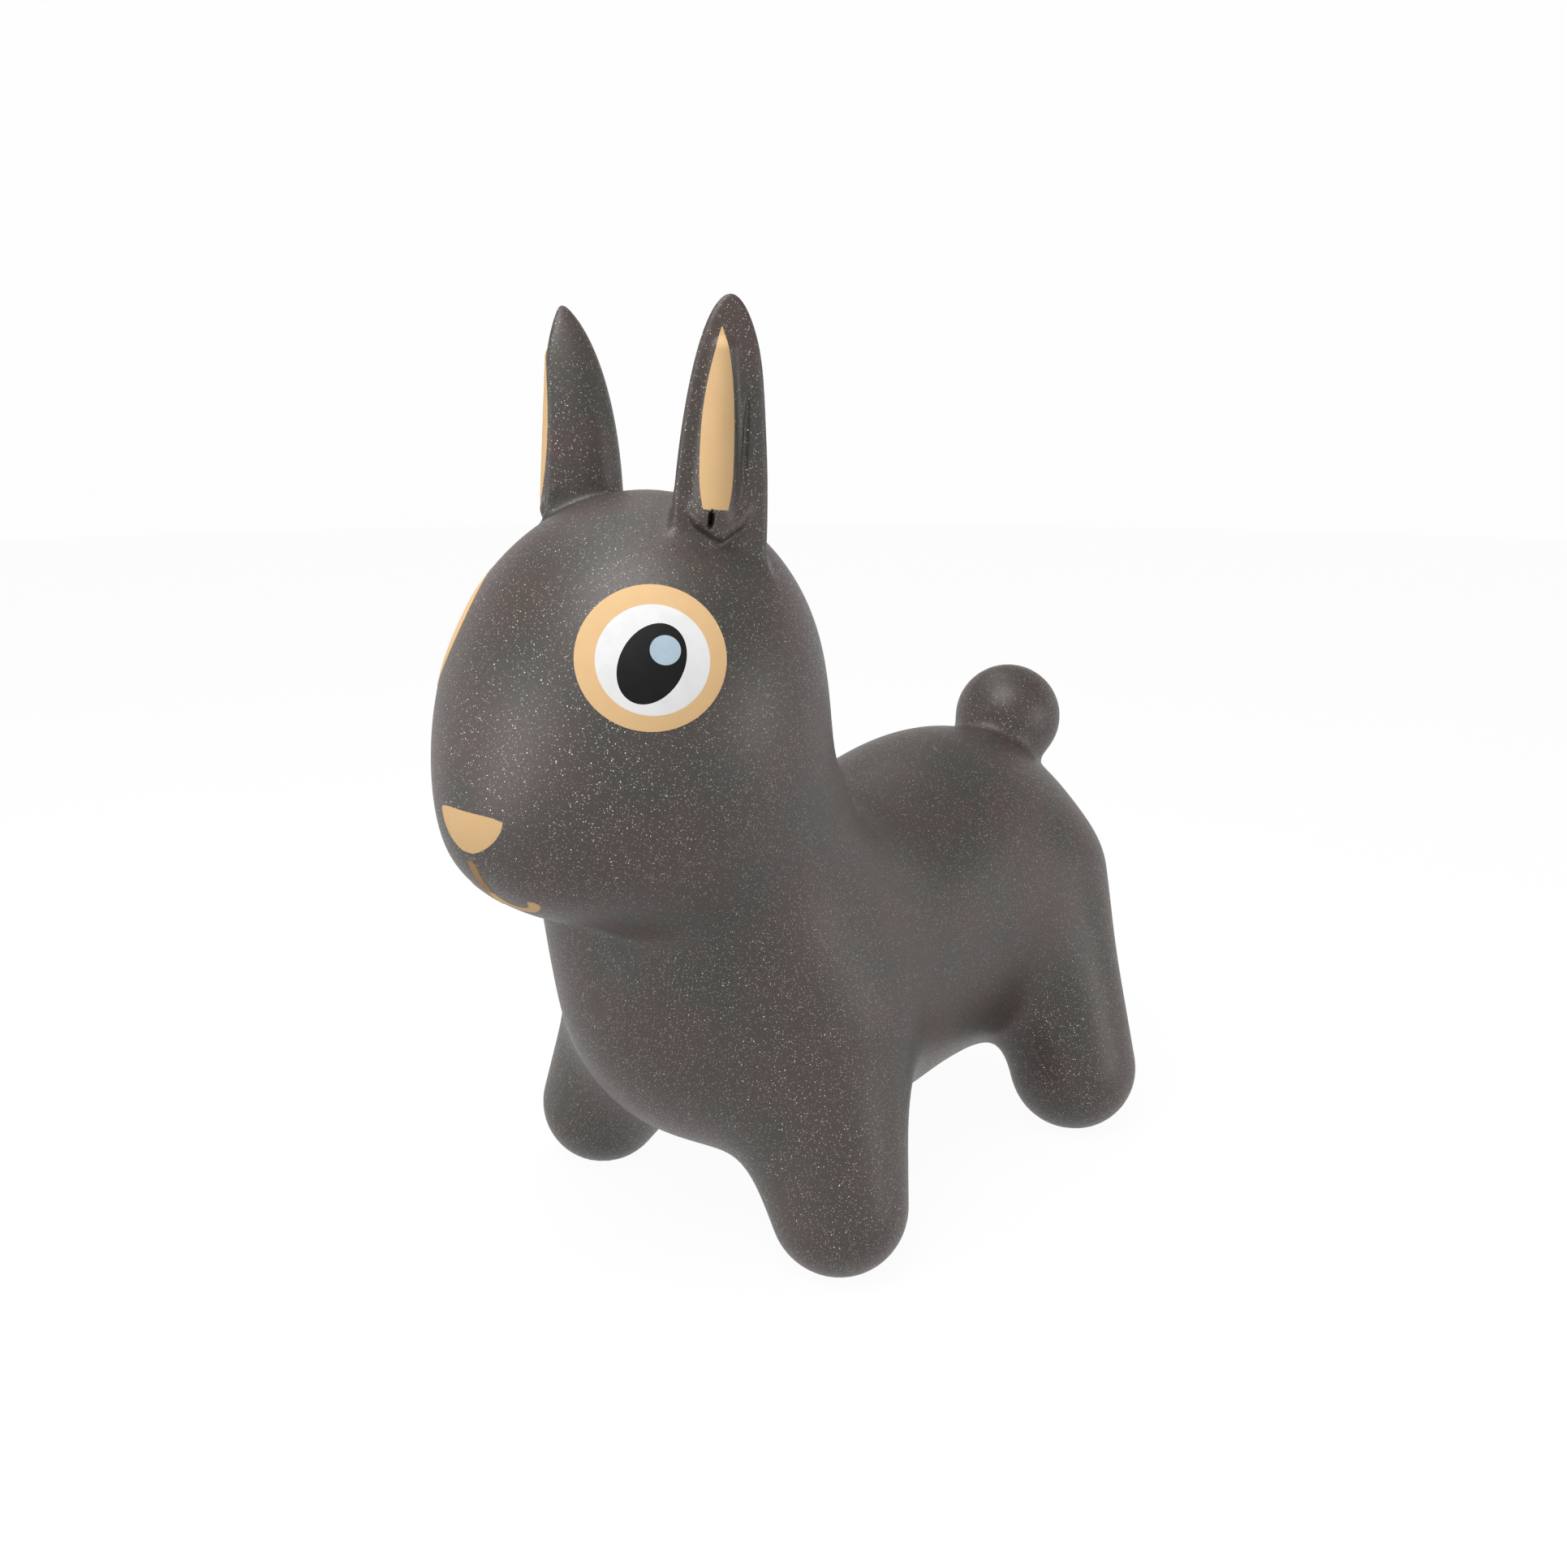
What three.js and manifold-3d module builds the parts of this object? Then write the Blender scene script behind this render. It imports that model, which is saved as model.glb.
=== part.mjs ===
// Bunny hopper: an air-filled PVC animal to sit on and bounce, moulded as one hollow skin.
// Millimetres, +Z up. It faces -Y with its left side at +X, and its soles stand on z = 0.
import * as THREE from 'three';
import { mergeVertices } from 'three/addons/utils/BufferGeometryUtils.js';
import Module from 'manifold-3d';

const wasm = await Module();
wasm.setup();

// Skin: wall of the moulding, clearance between pieces, thickness of a print, and facet size region by region
const WALL = 2.4;
const GAP = 0.3;
const PRINT_THICKNESS = 0.6;
const TORSO_FACET = 27;
const HEAD_FACET = 22;
const LIMB_FACET = 22;
const EAR_SIDES = 28;
const EAR_TIP_RISES = [60, 30];
const MOUTH_ROWS = 20;

// Trunk: an egg for the chest and one for the rump
const CHEST_Y = -33;
const CHEST_Z = 130;
const CHEST_HALF_WIDTH = 99.5;
const CHEST_HALF_LENGTH = 132;
const CHEST_HALF_HEIGHT = 95.5;
const RUMP_Y = 129.5;
const RUMP_Z = 149.5;
const RUMP_HALF_WIDTH = 93;
const RUMP_HALF_LENGTH = 121.5;
const RUMP_HALF_HEIGHT = 107;
const TRUNK_BLEND = 122;

// Head: an egg that narrows upwards and leans back, with a muzzle
const HEAD_Y = -140;
const HEAD_Z = 315;
const HEAD_HALF_WIDTH = 104;
const HEAD_HALF_LENGTH = 98.5;
const HEAD_HALF_HEIGHT = 107;
const HEAD_TAPER = 0.046;
const HEAD_LEAN = 0.108;
const MUZZLE_Y = -121.5;
const MUZZLE_Z = 256;
const MUZZLE_HALF_WIDTH = 69;
const MUZZLE_HALF_LENGTH = 116.5;
const MUZZLE_HALF_HEIGHT = 44;
const MUZZLE_BLEND = 77.5;

// Neck: a crease under the chin that opens, CHEEK_SOFTNESS times as wide, into full cheeks at CHEEK_X
const NECK_Y = -79.5;
const NECK_Z = 173.5;
const NECK_HALF_WIDTH = 90;
const NECK_HALF_LENGTH = 84;
const NECK_HALF_HEIGHT = 69;
const NECK_BLEND = 64.5;
const CHIN_BLEND = 29.5;
const CHEEK_SOFTNESS = 4.6;
const CHEEK_X = 110;
const NECK_SEAM_Y = -105;
const NECK_SEAM_Z = 246;
const NECK_SEAM_TILT = 36;

// Legs: a ball that shrinks on its way from hip to foot, cut flat at the sole
const FRONT_HIP_X = 58;
const FRONT_HIP_Y = -66.5;
const FRONT_HIP_Z = 119;
const FRONT_HIP_RADIUS = 56.5;
const FRONT_FOOT_X = 98;
const FRONT_FOOT_Y = -84.5;
const FRONT_FOOT_RADIUS = 38.5;
const HIND_HIP_X = 56;
const HIND_HIP_Y = 170.5;
const HIND_HIP_Z = 157.5;
const HIND_HIP_RADIUS = 42.5;
const HIND_FOOT_X = 98.5;
const HIND_FOOT_Y = 155.5;
const HIND_FOOT_RADIUS = 41;
const LEG_BLEND = 45;
const SOLE_CUT = 3.5;
const LEG_SEAM = 0.55;
const LEG_SEAM_MARGIN = 6;

// Tail: a ball on the rump
const TAIL_Y = 211;
const TAIL_Z = 253.5;
const TAIL_RADIUS = 36;
const TAIL_BLEND = 20;
const TAIL_SEAM_LIFT = 14;

// Ears: half an egg each, cut by a face that stands out near the tip, with a ridge that carries the print
const EAR_X = 48.5;
const EAR_Y = -128;
const EAR_SINK = 17.5;
const EAR_ROOT_RISE = 20;
const EAR_ROOT_SPREAD = 15;
const EAR_ROOT_TURN = 0.7;
const EAR_HEIGHT = 129.2;
const EAR_HALF_WIDTH = 25.4;
const EAR_DEPTH = 42;
const EAR_BACK_RADIUS = 50;
const EAR_TURN = 57.3;
const EAR_LEAN = 4.4;
const EAR_EDGE = 7;
const EAR_BLEND = 9;
const EAR_FACE = 16.5;
const EAR_CREST = 3.3;
const EAR_CREST_HEIGHT = 99;
const EAR_CREST_REACH = 24;
const EAR_RIDGE_SIDE = -3.5;
const EAR_RIDGE_FACE = 23.8;
const EAR_RIDGE_LOW = 22;
const EAR_RIDGE_LOW_RADIUS = 13;
const EAR_RIDGE_HIGH = 97;
const EAR_RIDGE_HIGH_RADIUS = 7;
const EAR_RIDGE_FALL = 0.7;
const EAR_RIDGE_BLEND = 4;
const EAR_SEAM_RADIUS = 33;
const EAR_SEAM_HALF_LENGTH = 37;
const EAR_SEAM_LIFT = 10;

// Valve in the belly
const VALVE_Y = 79;
const COLLAR_RADIUS = 11;
const COLLAR_HEIGHT = 10;
const COLLAR_PROUD = 0.8;
const PLUG_HEAD_RADIUS = 8;
const PLUG_HEAD_THICKNESS = 2.2;
const PLUG_SHANK_RADIUS = 4.2;
const PLUG_TIP_RADIUS = 3.6;
const PLUG_LENGTH = 15;

// Prints
const EYE_X = 74.8;
const EYE_Z = 350.5;
const EYE_RING_RADIUS = 35.4;
const EYE_RING_SIDE = -0.8;
const EYE_RING_UP = 1.7;
const EYE_WHITE_RADIUS = 26.6;
const PUPIL_HALF_WIDTH = 14.9;
const PUPIL_HALF_HEIGHT = 20.3;
const PUPIL_TILT = 29;
const PUPIL_SIDE = -0.5;
const PUPIL_DROP = 2.2;
const GLINT_RADIUS = 7.2;
const GLINT_SIDE = 5.9;
const GLINT_UP = 3.8;
const NOSE_TOP_Z = 275.2;
const NOSE_HEIGHT = 21.6;
const NOSE_HALF_WIDTH = 24.6;
const NOSE_FULLNESS = 1.85;
const NOSE_POINT = 0.68;
const MOUTH_GAP = 3;
const MOUTH_STEM = 19.9;
const MOUTH_HOOK_RADIUS = 13.2;
const MOUTH_HOOK_SWEEP = 168;
const MOUTH_LINE = 5.8;
const MOUTH_END = 7.6;
const MOUTH_END_SHARE = 0.2;
const EAR_PRINT_SHIFT = -4.5;
const EAR_PRINT_LOW = 22.5;
const EAR_PRINT_WIDEST = 45;
const EAR_PRINT_TOP = 108;
const EAR_PRINT_HALF_WIDTH = 8.5;
const EAR_PRINT_FOOT = 6.2;
const EAR_PRINT_FULLNESS = 2.5;

const PVC = { color: 0x544f4b, roughness: 0.5, metalness: 0 };
const TAN = { color: 0xdeba8a, roughness: 0.6, metalness: 0 };
const WHITE = { color: 0xededee, roughness: 0.5, metalness: 0 };
const BLACK = { color: 0x222222, roughness: 0.45, metalness: 0 };
const PALE_BLUE = { color: 0xb5c7d6, roughness: 0.5, metalness: 0 };

const UP = new THREE.Vector3(0, 0, 1);
const vec = (x, y, z) => new THREE.Vector3(x, y, z);
const radians = THREE.MathUtils.degToRad;

// Fields: negative inside, zero on the surface, about a distance in millimetres near it

function smoothMin(a, b, k) {
  const h = Math.max(k - Math.abs(a - b), 0) / k;
  return Math.min(a, b) - (h * h * h * k) / 6;
}

function smoothMax(a, b, k) {
  return -smoothMin(-a, -b, k);
}

function ellipsoid(x, y, z, rx, ry, rz) {
  const reach = Math.hypot(x / rx, y / ry, z / rz) + 1e-6;
  const slope = Math.hypot(x / (rx * rx), y / (ry * ry), z / (rz * rz)) + 1e-9;
  return (reach * (reach - 1)) / slope;
}

// A ball that moves from one end to the other while its radius changes evenly
function taperedLimb(p, limb) {
  const axis = limb.foot.clone().sub(limb.hip);
  const drop = limb.hipRadius - limb.footRadius;
  const length2 = axis.lengthSq();
  const side2 = length2 - drop * drop;
  const fromHip = p.clone().sub(limb.hip);
  const along = fromHip.dot(axis);
  const beyond = along - length2;
  const across2 = fromHip.multiplyScalar(length2).addScaledVector(axis, -along).lengthSq();
  const turn = Math.sign(drop) * drop * drop * across2;
  if (Math.sign(beyond) * side2 * beyond * beyond * length2 > turn) {
    return Math.sqrt(across2 + beyond * beyond * length2) / length2 - limb.footRadius;
  }
  if (Math.sign(along) * side2 * along * along * length2 < turn) {
    return Math.sqrt(across2 + along * along * length2) / length2 - limb.hipRadius;
  }
  return (Math.sqrt((across2 * side2) / length2) + along * drop) / length2 - limb.hipRadius;
}

const frontLimb = {
  hip: vec(FRONT_HIP_X, FRONT_HIP_Y, FRONT_HIP_Z),
  hipRadius: FRONT_HIP_RADIUS,
  foot: vec(FRONT_FOOT_X, FRONT_FOOT_Y, FRONT_FOOT_RADIUS - SOLE_CUT),
  footRadius: FRONT_FOOT_RADIUS,
};
const hindLimb = {
  hip: vec(HIND_HIP_X, HIND_HIP_Y, HIND_HIP_Z),
  hipRadius: HIND_HIP_RADIUS,
  foot: vec(HIND_FOOT_X, HIND_FOOT_Y, HIND_FOOT_RADIUS - SOLE_CUT),
  footRadius: HIND_FOOT_RADIUS,
};

function headField(p) {
  const z = p.z - HEAD_Z;
  const scale = 1 - HEAD_TAPER * THREE.MathUtils.clamp(z / HEAD_HALF_HEIGHT, -1.3, 1.3);
  const y = (p.y - HEAD_Y - HEAD_LEAN * z) / scale;
  const skull = ellipsoid(p.x / scale, y, z, HEAD_HALF_WIDTH, HEAD_HALF_LENGTH, HEAD_HALF_HEIGHT);
  const muzzle = ellipsoid(
    p.x, p.y - MUZZLE_Y, p.z - MUZZLE_Z, MUZZLE_HALF_WIDTH, MUZZLE_HALF_LENGTH, MUZZLE_HALF_HEIGHT);
  return smoothMin(skull, muzzle, MUZZLE_BLEND);
}

function trunkField(p) {
  const chest = ellipsoid(
    p.x, p.y - CHEST_Y, p.z - CHEST_Z, CHEST_HALF_WIDTH, CHEST_HALF_LENGTH, CHEST_HALF_HEIGHT);
  const rump = ellipsoid(
    p.x, p.y - RUMP_Y, p.z - RUMP_Z, RUMP_HALF_WIDTH, RUMP_HALF_LENGTH, RUMP_HALF_HEIGHT);
  const neck = ellipsoid(
    p.x, p.y - NECK_Y, p.z - NECK_Z, NECK_HALF_WIDTH, NECK_HALF_LENGTH, NECK_HALF_HEIGHT);
  const folded = vec(Math.abs(p.x), p.y, p.z);
  const legs = Math.min(taperedLimb(folded, frontLimb), taperedLimb(folded, hindLimb));
  return smoothMin(smoothMin(smoothMin(chest, rump, TRUNK_BLEND), legs, LEG_BLEND), neck, NECK_BLEND);
}

// The skin without its ears
function bodyField(p) {
  const side = Math.min(Math.abs(p.x) / CHEEK_X, 1);
  const blend = CHIN_BLEND * (1 + (CHEEK_SOFTNESS - 1) * side * side * (3 - 2 * side));
  const tail = Math.hypot(p.x, p.y - TAIL_Y, p.z - TAIL_Z) - TAIL_RADIUS;
  return smoothMin(smoothMin(trunkField(p), headField(p), blend), tail, TAIL_BLEND);
}

function slopeAt(field, p, step = 0.5) {
  return vec(
    field(vec(p.x + step, p.y, p.z)) - field(vec(p.x - step, p.y, p.z)),
    field(vec(p.x, p.y + step, p.z)) - field(vec(p.x, p.y - step, p.z)),
    field(vec(p.x, p.y, p.z + step)) - field(vec(p.x, p.y, p.z - step)),
  ).divideScalar(2 * step);
}

const outward = (field, p) => slopeAt(field, p).normalize();

// Moves a point near the surface onto it, along the field's slope
function settle(field, p) {
  for (let round = 0; round < 5; round++) {
    const slope = slopeAt(field, p);
    p.addScaledVector(slope, -field(p) / Math.max(slope.lengthSq(), 0.05));
  }
  return p;
}

// Moves a surface point over the surface to the top of the rise that it is on
function climb(field, p) {
  for (let round = 0; round < 60; round++) {
    const normal = outward(field, p);
    settle(field, p.add(UP).addScaledVector(normal, -normal.z));
  }
  return p;
}

// The first surface point on a straight way: towards it from outside, or backwards out of the inside
function land(field, start, direction) {
  const p = start.clone();
  for (let round = 0; round < 200; round++) {
    p.addScaledVector(direction, 0.7 * field(p));
  }
  return p;
}

// Ear frame: origin on the head's surface, axes across the ear, out of its inner face and along it
const earSeat = land(bodyField, vec(EAR_X, EAR_Y, HEAD_Z + 2 * HEAD_HALF_HEIGHT), vec(0, 0, -1));
const earBase = earSeat.clone().addScaledVector(UP, -EAR_SINK);
const earAlong = vec(0, Math.sin(radians(EAR_LEAN)), Math.cos(radians(EAR_LEAN)));
const earFacing = vec(Math.sin(radians(EAR_TURN)), -Math.cos(radians(EAR_TURN)), 0);
earFacing.addScaledVector(earAlong, -earFacing.dot(earAlong)).normalize();
const earAcross = earAlong.clone().cross(earFacing);
const earSeatNormal = outward(bodyField, earSeat);
const earHingeAxis = vec(earSeatNormal.z, 0, -earSeatNormal.x).normalize();
const earSeamUp = vec(earSeatNormal.x, 0, earSeatNormal.z).normalize();

const earRidge = {
  hip: vec(EAR_RIDGE_SIDE, EAR_RIDGE_FACE - EAR_RIDGE_LOW_RADIUS, EAR_RIDGE_LOW),
  hipRadius: EAR_RIDGE_LOW_RADIUS,
  foot: vec(EAR_RIDGE_SIDE, EAR_RIDGE_FACE - EAR_RIDGE_FALL - EAR_RIDGE_HIGH_RADIUS, EAR_RIDGE_HIGH),
  footRadius: EAR_RIDGE_HIGH_RADIUS,
};

function earField(p) {
  const q = p.clone().sub(earBase);
  const place = vec(q.dot(earAcross), q.dot(earFacing), q.dot(earAlong));
  const middle = EAR_BACK_RADIUS - EAR_DEPTH / 2;
  const half = ellipsoid(place.x, place.y - middle, place.z, EAR_HALF_WIDTH, EAR_BACK_RADIUS, EAR_HEIGHT);
  const face = EAR_FACE + EAR_CREST * Math.exp(-(((place.z - EAR_CREST_HEIGHT) / EAR_CREST_REACH) ** 2));
  const shell = smoothMax(half, place.y - face, EAR_EDGE);
  return smoothMin(shell, taperedLimb(place, earRidge), EAR_RIDGE_BLEND);
}

const earedField = (p) => smoothMin(bodyField(p), earField(p), EAR_BLEND);

// Solids

// One point in each grid cell that the surface crosses, and a facet between the four round a crossed edge
function surfaceNet(field, box, facet) {
  const low = box.min.toArray();
  const size = box.getSize(vec(0, 0, 0)).toArray();
  const cells = size.map((length) => Math.ceil(length / facet));
  const step = size.map((length, k) => length / cells[k]);
  const row = [1, cells[0] + 1, (cells[0] + 1) * (cells[1] + 1)];
  const values = new Float64Array(row[2] * (cells[2] + 1));
  const corner = (n) => [n % row[1], Math.floor(n / row[1]) % (cells[1] + 1), Math.floor(n / row[2])];
  const place = (ijk) => vec(...ijk.map((i, k) => low[k] + i * step[k]));
  values.forEach((_, n) => {
    values[n] = field(place(corner(n)));
  });
  const points = [];
  const pointOfCell = new Map();
  const axes = [0, 1, 2];
  for (let n = 0; n < values.length; n++) {
    const ijk = corner(n);
    if (axes.some((a) => ijk[a] === cells[a])) continue;
    const sum = vec(0, 0, 0);
    let crossings = 0;
    for (const a of axes) {
      const [b, c] = axes.filter((other) => other !== a);
      for (const shift of [0, row[b], row[c], row[b] + row[c]]) {
        const start = values[n + shift];
        const end = values[n + shift + row[a]];
        if (start < 0 === end < 0) continue;
        const crossed = corner(n + shift);
        crossed[a] += start / (start - end);
        sum.add(place(crossed));
        crossings++;
      }
    }
    if (crossings === 0) continue;
    pointOfCell.set(n, points.length);
    points.push(settle(field, sum.divideScalar(crossings)));
  }
  const triangles = [];
  for (let n = 0; n < values.length; n++) {
    const ijk = corner(n);
    for (const a of axes) {
      const b = (a + 1) % 3;
      const c = (a + 2) % 3;
      if (ijk[a] === cells[a] || ijk[b] === 0 || ijk[c] === 0) continue;
      const leaves = values[n] < 0;
      if (leaves === values[n + row[a]] < 0) continue;
      const ring = [n, n - row[b], n - row[b] - row[c], n - row[c]].map((cell) => pointOfCell.get(cell));
      if (!leaves) ring.reverse();
      const firstCut = points[ring[0]].distanceTo(points[ring[2]]);
      const secondCut = points[ring[1]].distanceTo(points[ring[3]]);
      const [p, q, r, s] = firstCut < secondCut ? ring : [ring[1], ring[2], ring[3], ring[0]];
      triangles.push(p, q, r, p, r, s);
    }
  }
  return { points, triangles };
}

function solidOfMesh({ points, triangles }) {
  const vertProperties = Float32Array.from(points.flatMap((p) => p.toArray()));
  const triVerts = Uint32Array.from(triangles);
  return new wasm.Manifold(new wasm.Mesh({ numProp: 3, vertProperties, triVerts }));
}

function solidOf(geometry) {
  const bare = geometry.index ? geometry.toNonIndexed() : geometry.clone();
  bare.deleteAttribute('normal');
  bare.deleteAttribute('uv');
  const merged = mergeVertices(bare, 1e-4);
  const vertProperties = Float32Array.from(merged.attributes.position.array);
  const triVerts = Uint32Array.from(merged.index.array);
  return new wasm.Manifold(new wasm.Mesh({ numProp: 3, vertProperties, triVerts }));
}

function geometryOf(solid) {
  const mesh = solid.getMesh();
  const geometry = new THREE.BufferGeometry();
  geometry.setAttribute('position', new THREE.BufferAttribute(Float32Array.from(mesh.vertProperties), 3));
  geometry.setIndex(new THREE.BufferAttribute(Uint32Array.from(mesh.triVerts), 1));
  geometry.computeVertexNormals();
  return geometry;
}

// The solid inside a net whose points are moved out along the field's normal
function grownSolid(field, net, grow) {
  const points = net.points.map((p) => p.clone().addScaledVector(outward(field, p), grow));
  return solidOfMesh({ points, triangles: net.triangles });
}

// A round bar between two points, its radius changing evenly
function bar(from, to, fromRadius, toRadius, sides = 32) {
  const length = from.distanceTo(to);
  const direction = to.clone().sub(from).normalize();
  const geometry = new THREE.CylinderGeometry(toRadius, fromRadius, length, sides);
  geometry.applyQuaternion(new THREE.Quaternion().setFromUnitVectors(vec(0, 1, 0), direction));
  geometry.translate(...from.clone().add(to).multiplyScalar(0.5).toArray());
  return solidOf(geometry);
}

// A block whose lower face lies on a plane, large enough to hold all that is above it
function above(point, normal, reach = 2000) {
  const geometry = new THREE.BoxGeometry(reach, reach, reach);
  geometry.translate(0, 0, reach / 2);
  geometry.applyQuaternion(new THREE.Quaternion().setFromUnitVectors(UP, normal));
  geometry.translate(...point.toArray());
  return solidOf(geometry);
}

function mirrored(solid) {
  const geometry = geometryOf(solid);
  geometry.scale(-1, 1, 1);
  const order = geometry.index.array;
  for (let t = 0; t < order.length; t += 3) {
    [order[t], order[t + 1]] = [order[t + 1], order[t]];
  }
  return solidOf(geometry);
}

// Seams between the regions of the skin. Each tool grows by a clearance on the side that it is cut from

function limbSeam(limb, grow) {
  const axis = limb.foot.clone().sub(limb.hip);
  const radius = THREE.MathUtils.lerp(limb.hipRadius, limb.footRadius, LEG_SEAM) + LEG_SEAM_MARGIN + grow;
  const from = limb.hip.clone().addScaledVector(axis, LEG_SEAM - grow / axis.length());
  const to = limb.foot.clone().addScaledVector(axis, (2 * limb.footRadius) / axis.length());
  return bar(from, to, radius, radius);
}

function tailSeam(grow) {
  const rumpCentre = vec(0, RUMP_Y, RUMP_Z);
  const tailCentre = vec(0, TAIL_Y, TAIL_Z);
  const direction = tailCentre.clone().sub(rumpCentre).normalize();
  const from = tailCentre.clone().addScaledVector(direction, -TAIL_SEAM_LIFT - grow);
  const to = tailCentre.clone().addScaledVector(direction, 2 * TAIL_RADIUS);
  return bar(from, to, 1.5 * TAIL_RADIUS, 1.5 * TAIL_RADIUS);
}

function earSeam(grow) {
  const reach = EAR_SEAM_HALF_LENGTH + grow;
  const from = earSeat.clone().addScaledVector(earHingeAxis, -reach);
  const to = earSeat.clone().addScaledVector(earHingeAxis, reach);
  return bar(from, to, EAR_SEAM_RADIUS + grow, EAR_SEAM_RADIUS + grow, 64);
}

const neckNormal = vec(0, -Math.sin(radians(NECK_SEAM_TILT)), Math.cos(radians(NECK_SEAM_TILT)));
const neckPoint = vec(0, NECK_SEAM_Y, NECK_SEAM_Z);

// Body skin, stood on flat soles

const halfWidth = Math.max(
  FRONT_FOOT_X + FRONT_FOOT_RADIUS,
  HIND_FOOT_X + HIND_FOOT_RADIUS,
  1.1 * HEAD_HALF_WIDTH,
  1.1 * CHEST_HALF_WIDTH);
const frontEnd = Math.min(
  MUZZLE_Y - MUZZLE_HALF_LENGTH,
  HEAD_Y - 1.3 * HEAD_HALF_LENGTH,
  CHEST_Y - CHEST_HALF_LENGTH);
const backEnd = Math.max(
  TAIL_Y + TAIL_RADIUS,
  RUMP_Y + RUMP_HALF_LENGTH,
  HIND_FOOT_Y + HIND_FOOT_RADIUS);
const topEnd = Math.max(HEAD_Z + HEAD_HALF_HEIGHT, TAIL_Z + TAIL_RADIUS);

function bodyNet(facet) {
  const spare = 1.5 * facet;
  const box = new THREE.Box3(
    vec(-halfWidth - spare, frontEnd - spare, -SOLE_CUT - spare),
    vec(halfWidth + spare, backEnd + spare, topEnd + spare));
  return surfaceNet(bodyField, box, facet);
}

function bodySkin(net) {
  const inside = grownSolid(bodyField, net, -WALL).intersect(above(vec(0, 0, WALL), UP));
  return grownSolid(bodyField, net, 0).intersect(above(vec(0, 0, 0), UP)).subtract(inside);
}

const headNet = bodyNet(HEAD_FACET);
const limbSkin = bodySkin(bodyNet(LIMB_FACET));

const halfGap = GAP / 2;
const aboveNeck = above(neckPoint.clone().addScaledVector(neckNormal, halfGap), neckNormal);
const fromNeck = above(neckPoint.clone().addScaledVector(neckNormal, -halfGap), neckNormal);

// Left-hand solids are made once and mirrored for the right
const headSkin = bodySkin(headNet)
  .intersect(aboveNeck)
  .subtract(earSeam(GAP))
  .subtract(mirrored(earSeam(GAP)));

const frontLeg = limbSkin.intersect(limbSeam(frontLimb, 0));
const hindLeg = limbSkin.intersect(limbSeam(hindLimb, 0));
const tail = limbSkin.intersect(tailSeam(0));

const valveTop = land(bodyField, vec(0, VALVE_Y, 0), UP);
const valveHole = bar(
  vec(0, VALVE_Y, 0), vec(0, VALVE_Y, valveTop.z + COLLAR_HEIGHT), COLLAR_RADIUS + GAP, COLLAR_RADIUS + GAP);
const torso = [limbSeam(frontLimb, GAP), limbSeam(hindLimb, GAP)]
  .flatMap((tool) => [tool, mirrored(tool)])
  .concat(tailSeam(GAP), valveHole)
  .reduce((solid, tool) => solid.subtract(tool), bodySkin(bodyNet(TORSO_FACET)).subtract(fromNeck));

// Ear: rings of points round the ear's middle line, from the tip down over the root and out on to the head

// The middle of the ear's thickness at a height above its base
function earMiddle(height) {
  const bend = 1 - Math.sqrt(1 - (Math.max(height, 0) / EAR_HEIGHT) ** 2);
  const forward = (EAR_BACK_RADIUS * bend) / 2;
  return earBase.clone().addScaledVector(earAlong, height).addScaledVector(earFacing, forward);
}

const shaftTop = 0.86 * EAR_HEIGHT;
const shaftFoot = EAR_SINK + EAR_ROOT_RISE;
const rootFoot = EAR_SINK - EAR_BLEND;
const headReach = Math.hypot(EAR_SEAM_RADIUS, EAR_SEAM_HALF_LENGTH);

// Unit directions all round an axis, the first one nearest to front
function spokes(axis, front) {
  const first = front.clone().addScaledVector(axis, -front.dot(axis)).normalize();
  const second = axis.clone().cross(first);
  return Array.from({ length: EAR_SIDES }, (_, j) => {
    const angle = (2 * Math.PI * j) / EAR_SIDES;
    return first.clone().multiplyScalar(Math.cos(angle)).addScaledVector(second, Math.sin(angle));
  });
}

// Out of the ear's inside, rising by an angle, round an axis that turns from the ear's to the head's
function ringRoundEar(height, rise, toSeat) {
  const axis = earAlong.clone().lerp(earSeatNormal, toSeat).normalize();
  const lift = Math.tan(radians(rise));
  return spokes(axis, earFacing).map((spoke) => {
    return land(earedField, earMiddle(height), spoke.addScaledVector(axis, lift).normalize().negate());
  });
}

// Down on to the head round the ear's root
function ringOnHead(radius) {
  const down = earSeatNormal.clone().negate();
  return spokes(earSeatNormal, earFacing).map((spoke) => {
    const start = earSeat.clone().addScaledVector(spoke, radius).addScaledVector(down, -radius);
    return land(earedField, start, down);
  });
}

const earRings = [
  ...EAR_TIP_RISES.map((rise) => ringRoundEar(shaftTop, rise, 0)),
  ...[0, 1 / 8, 2 / 8, 3 / 8, 4 / 8, 5 / 8, 6 / 8, 7 / 8, 1].map((part) => {
    return ringRoundEar(THREE.MathUtils.lerp(shaftTop, shaftFoot, part), 0, 0);
  }),
  ...[1 / 3, 2 / 3, 1].map((part) => {
    const height = THREE.MathUtils.lerp(shaftFoot, rootFoot, part);
    return ringRoundEar(height, EAR_ROOT_SPREAD * part, EAR_ROOT_TURN * part);
  }),
  ringOnHead(0.87 * headReach),
  ringOnHead(1.1 * headReach),
];

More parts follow.
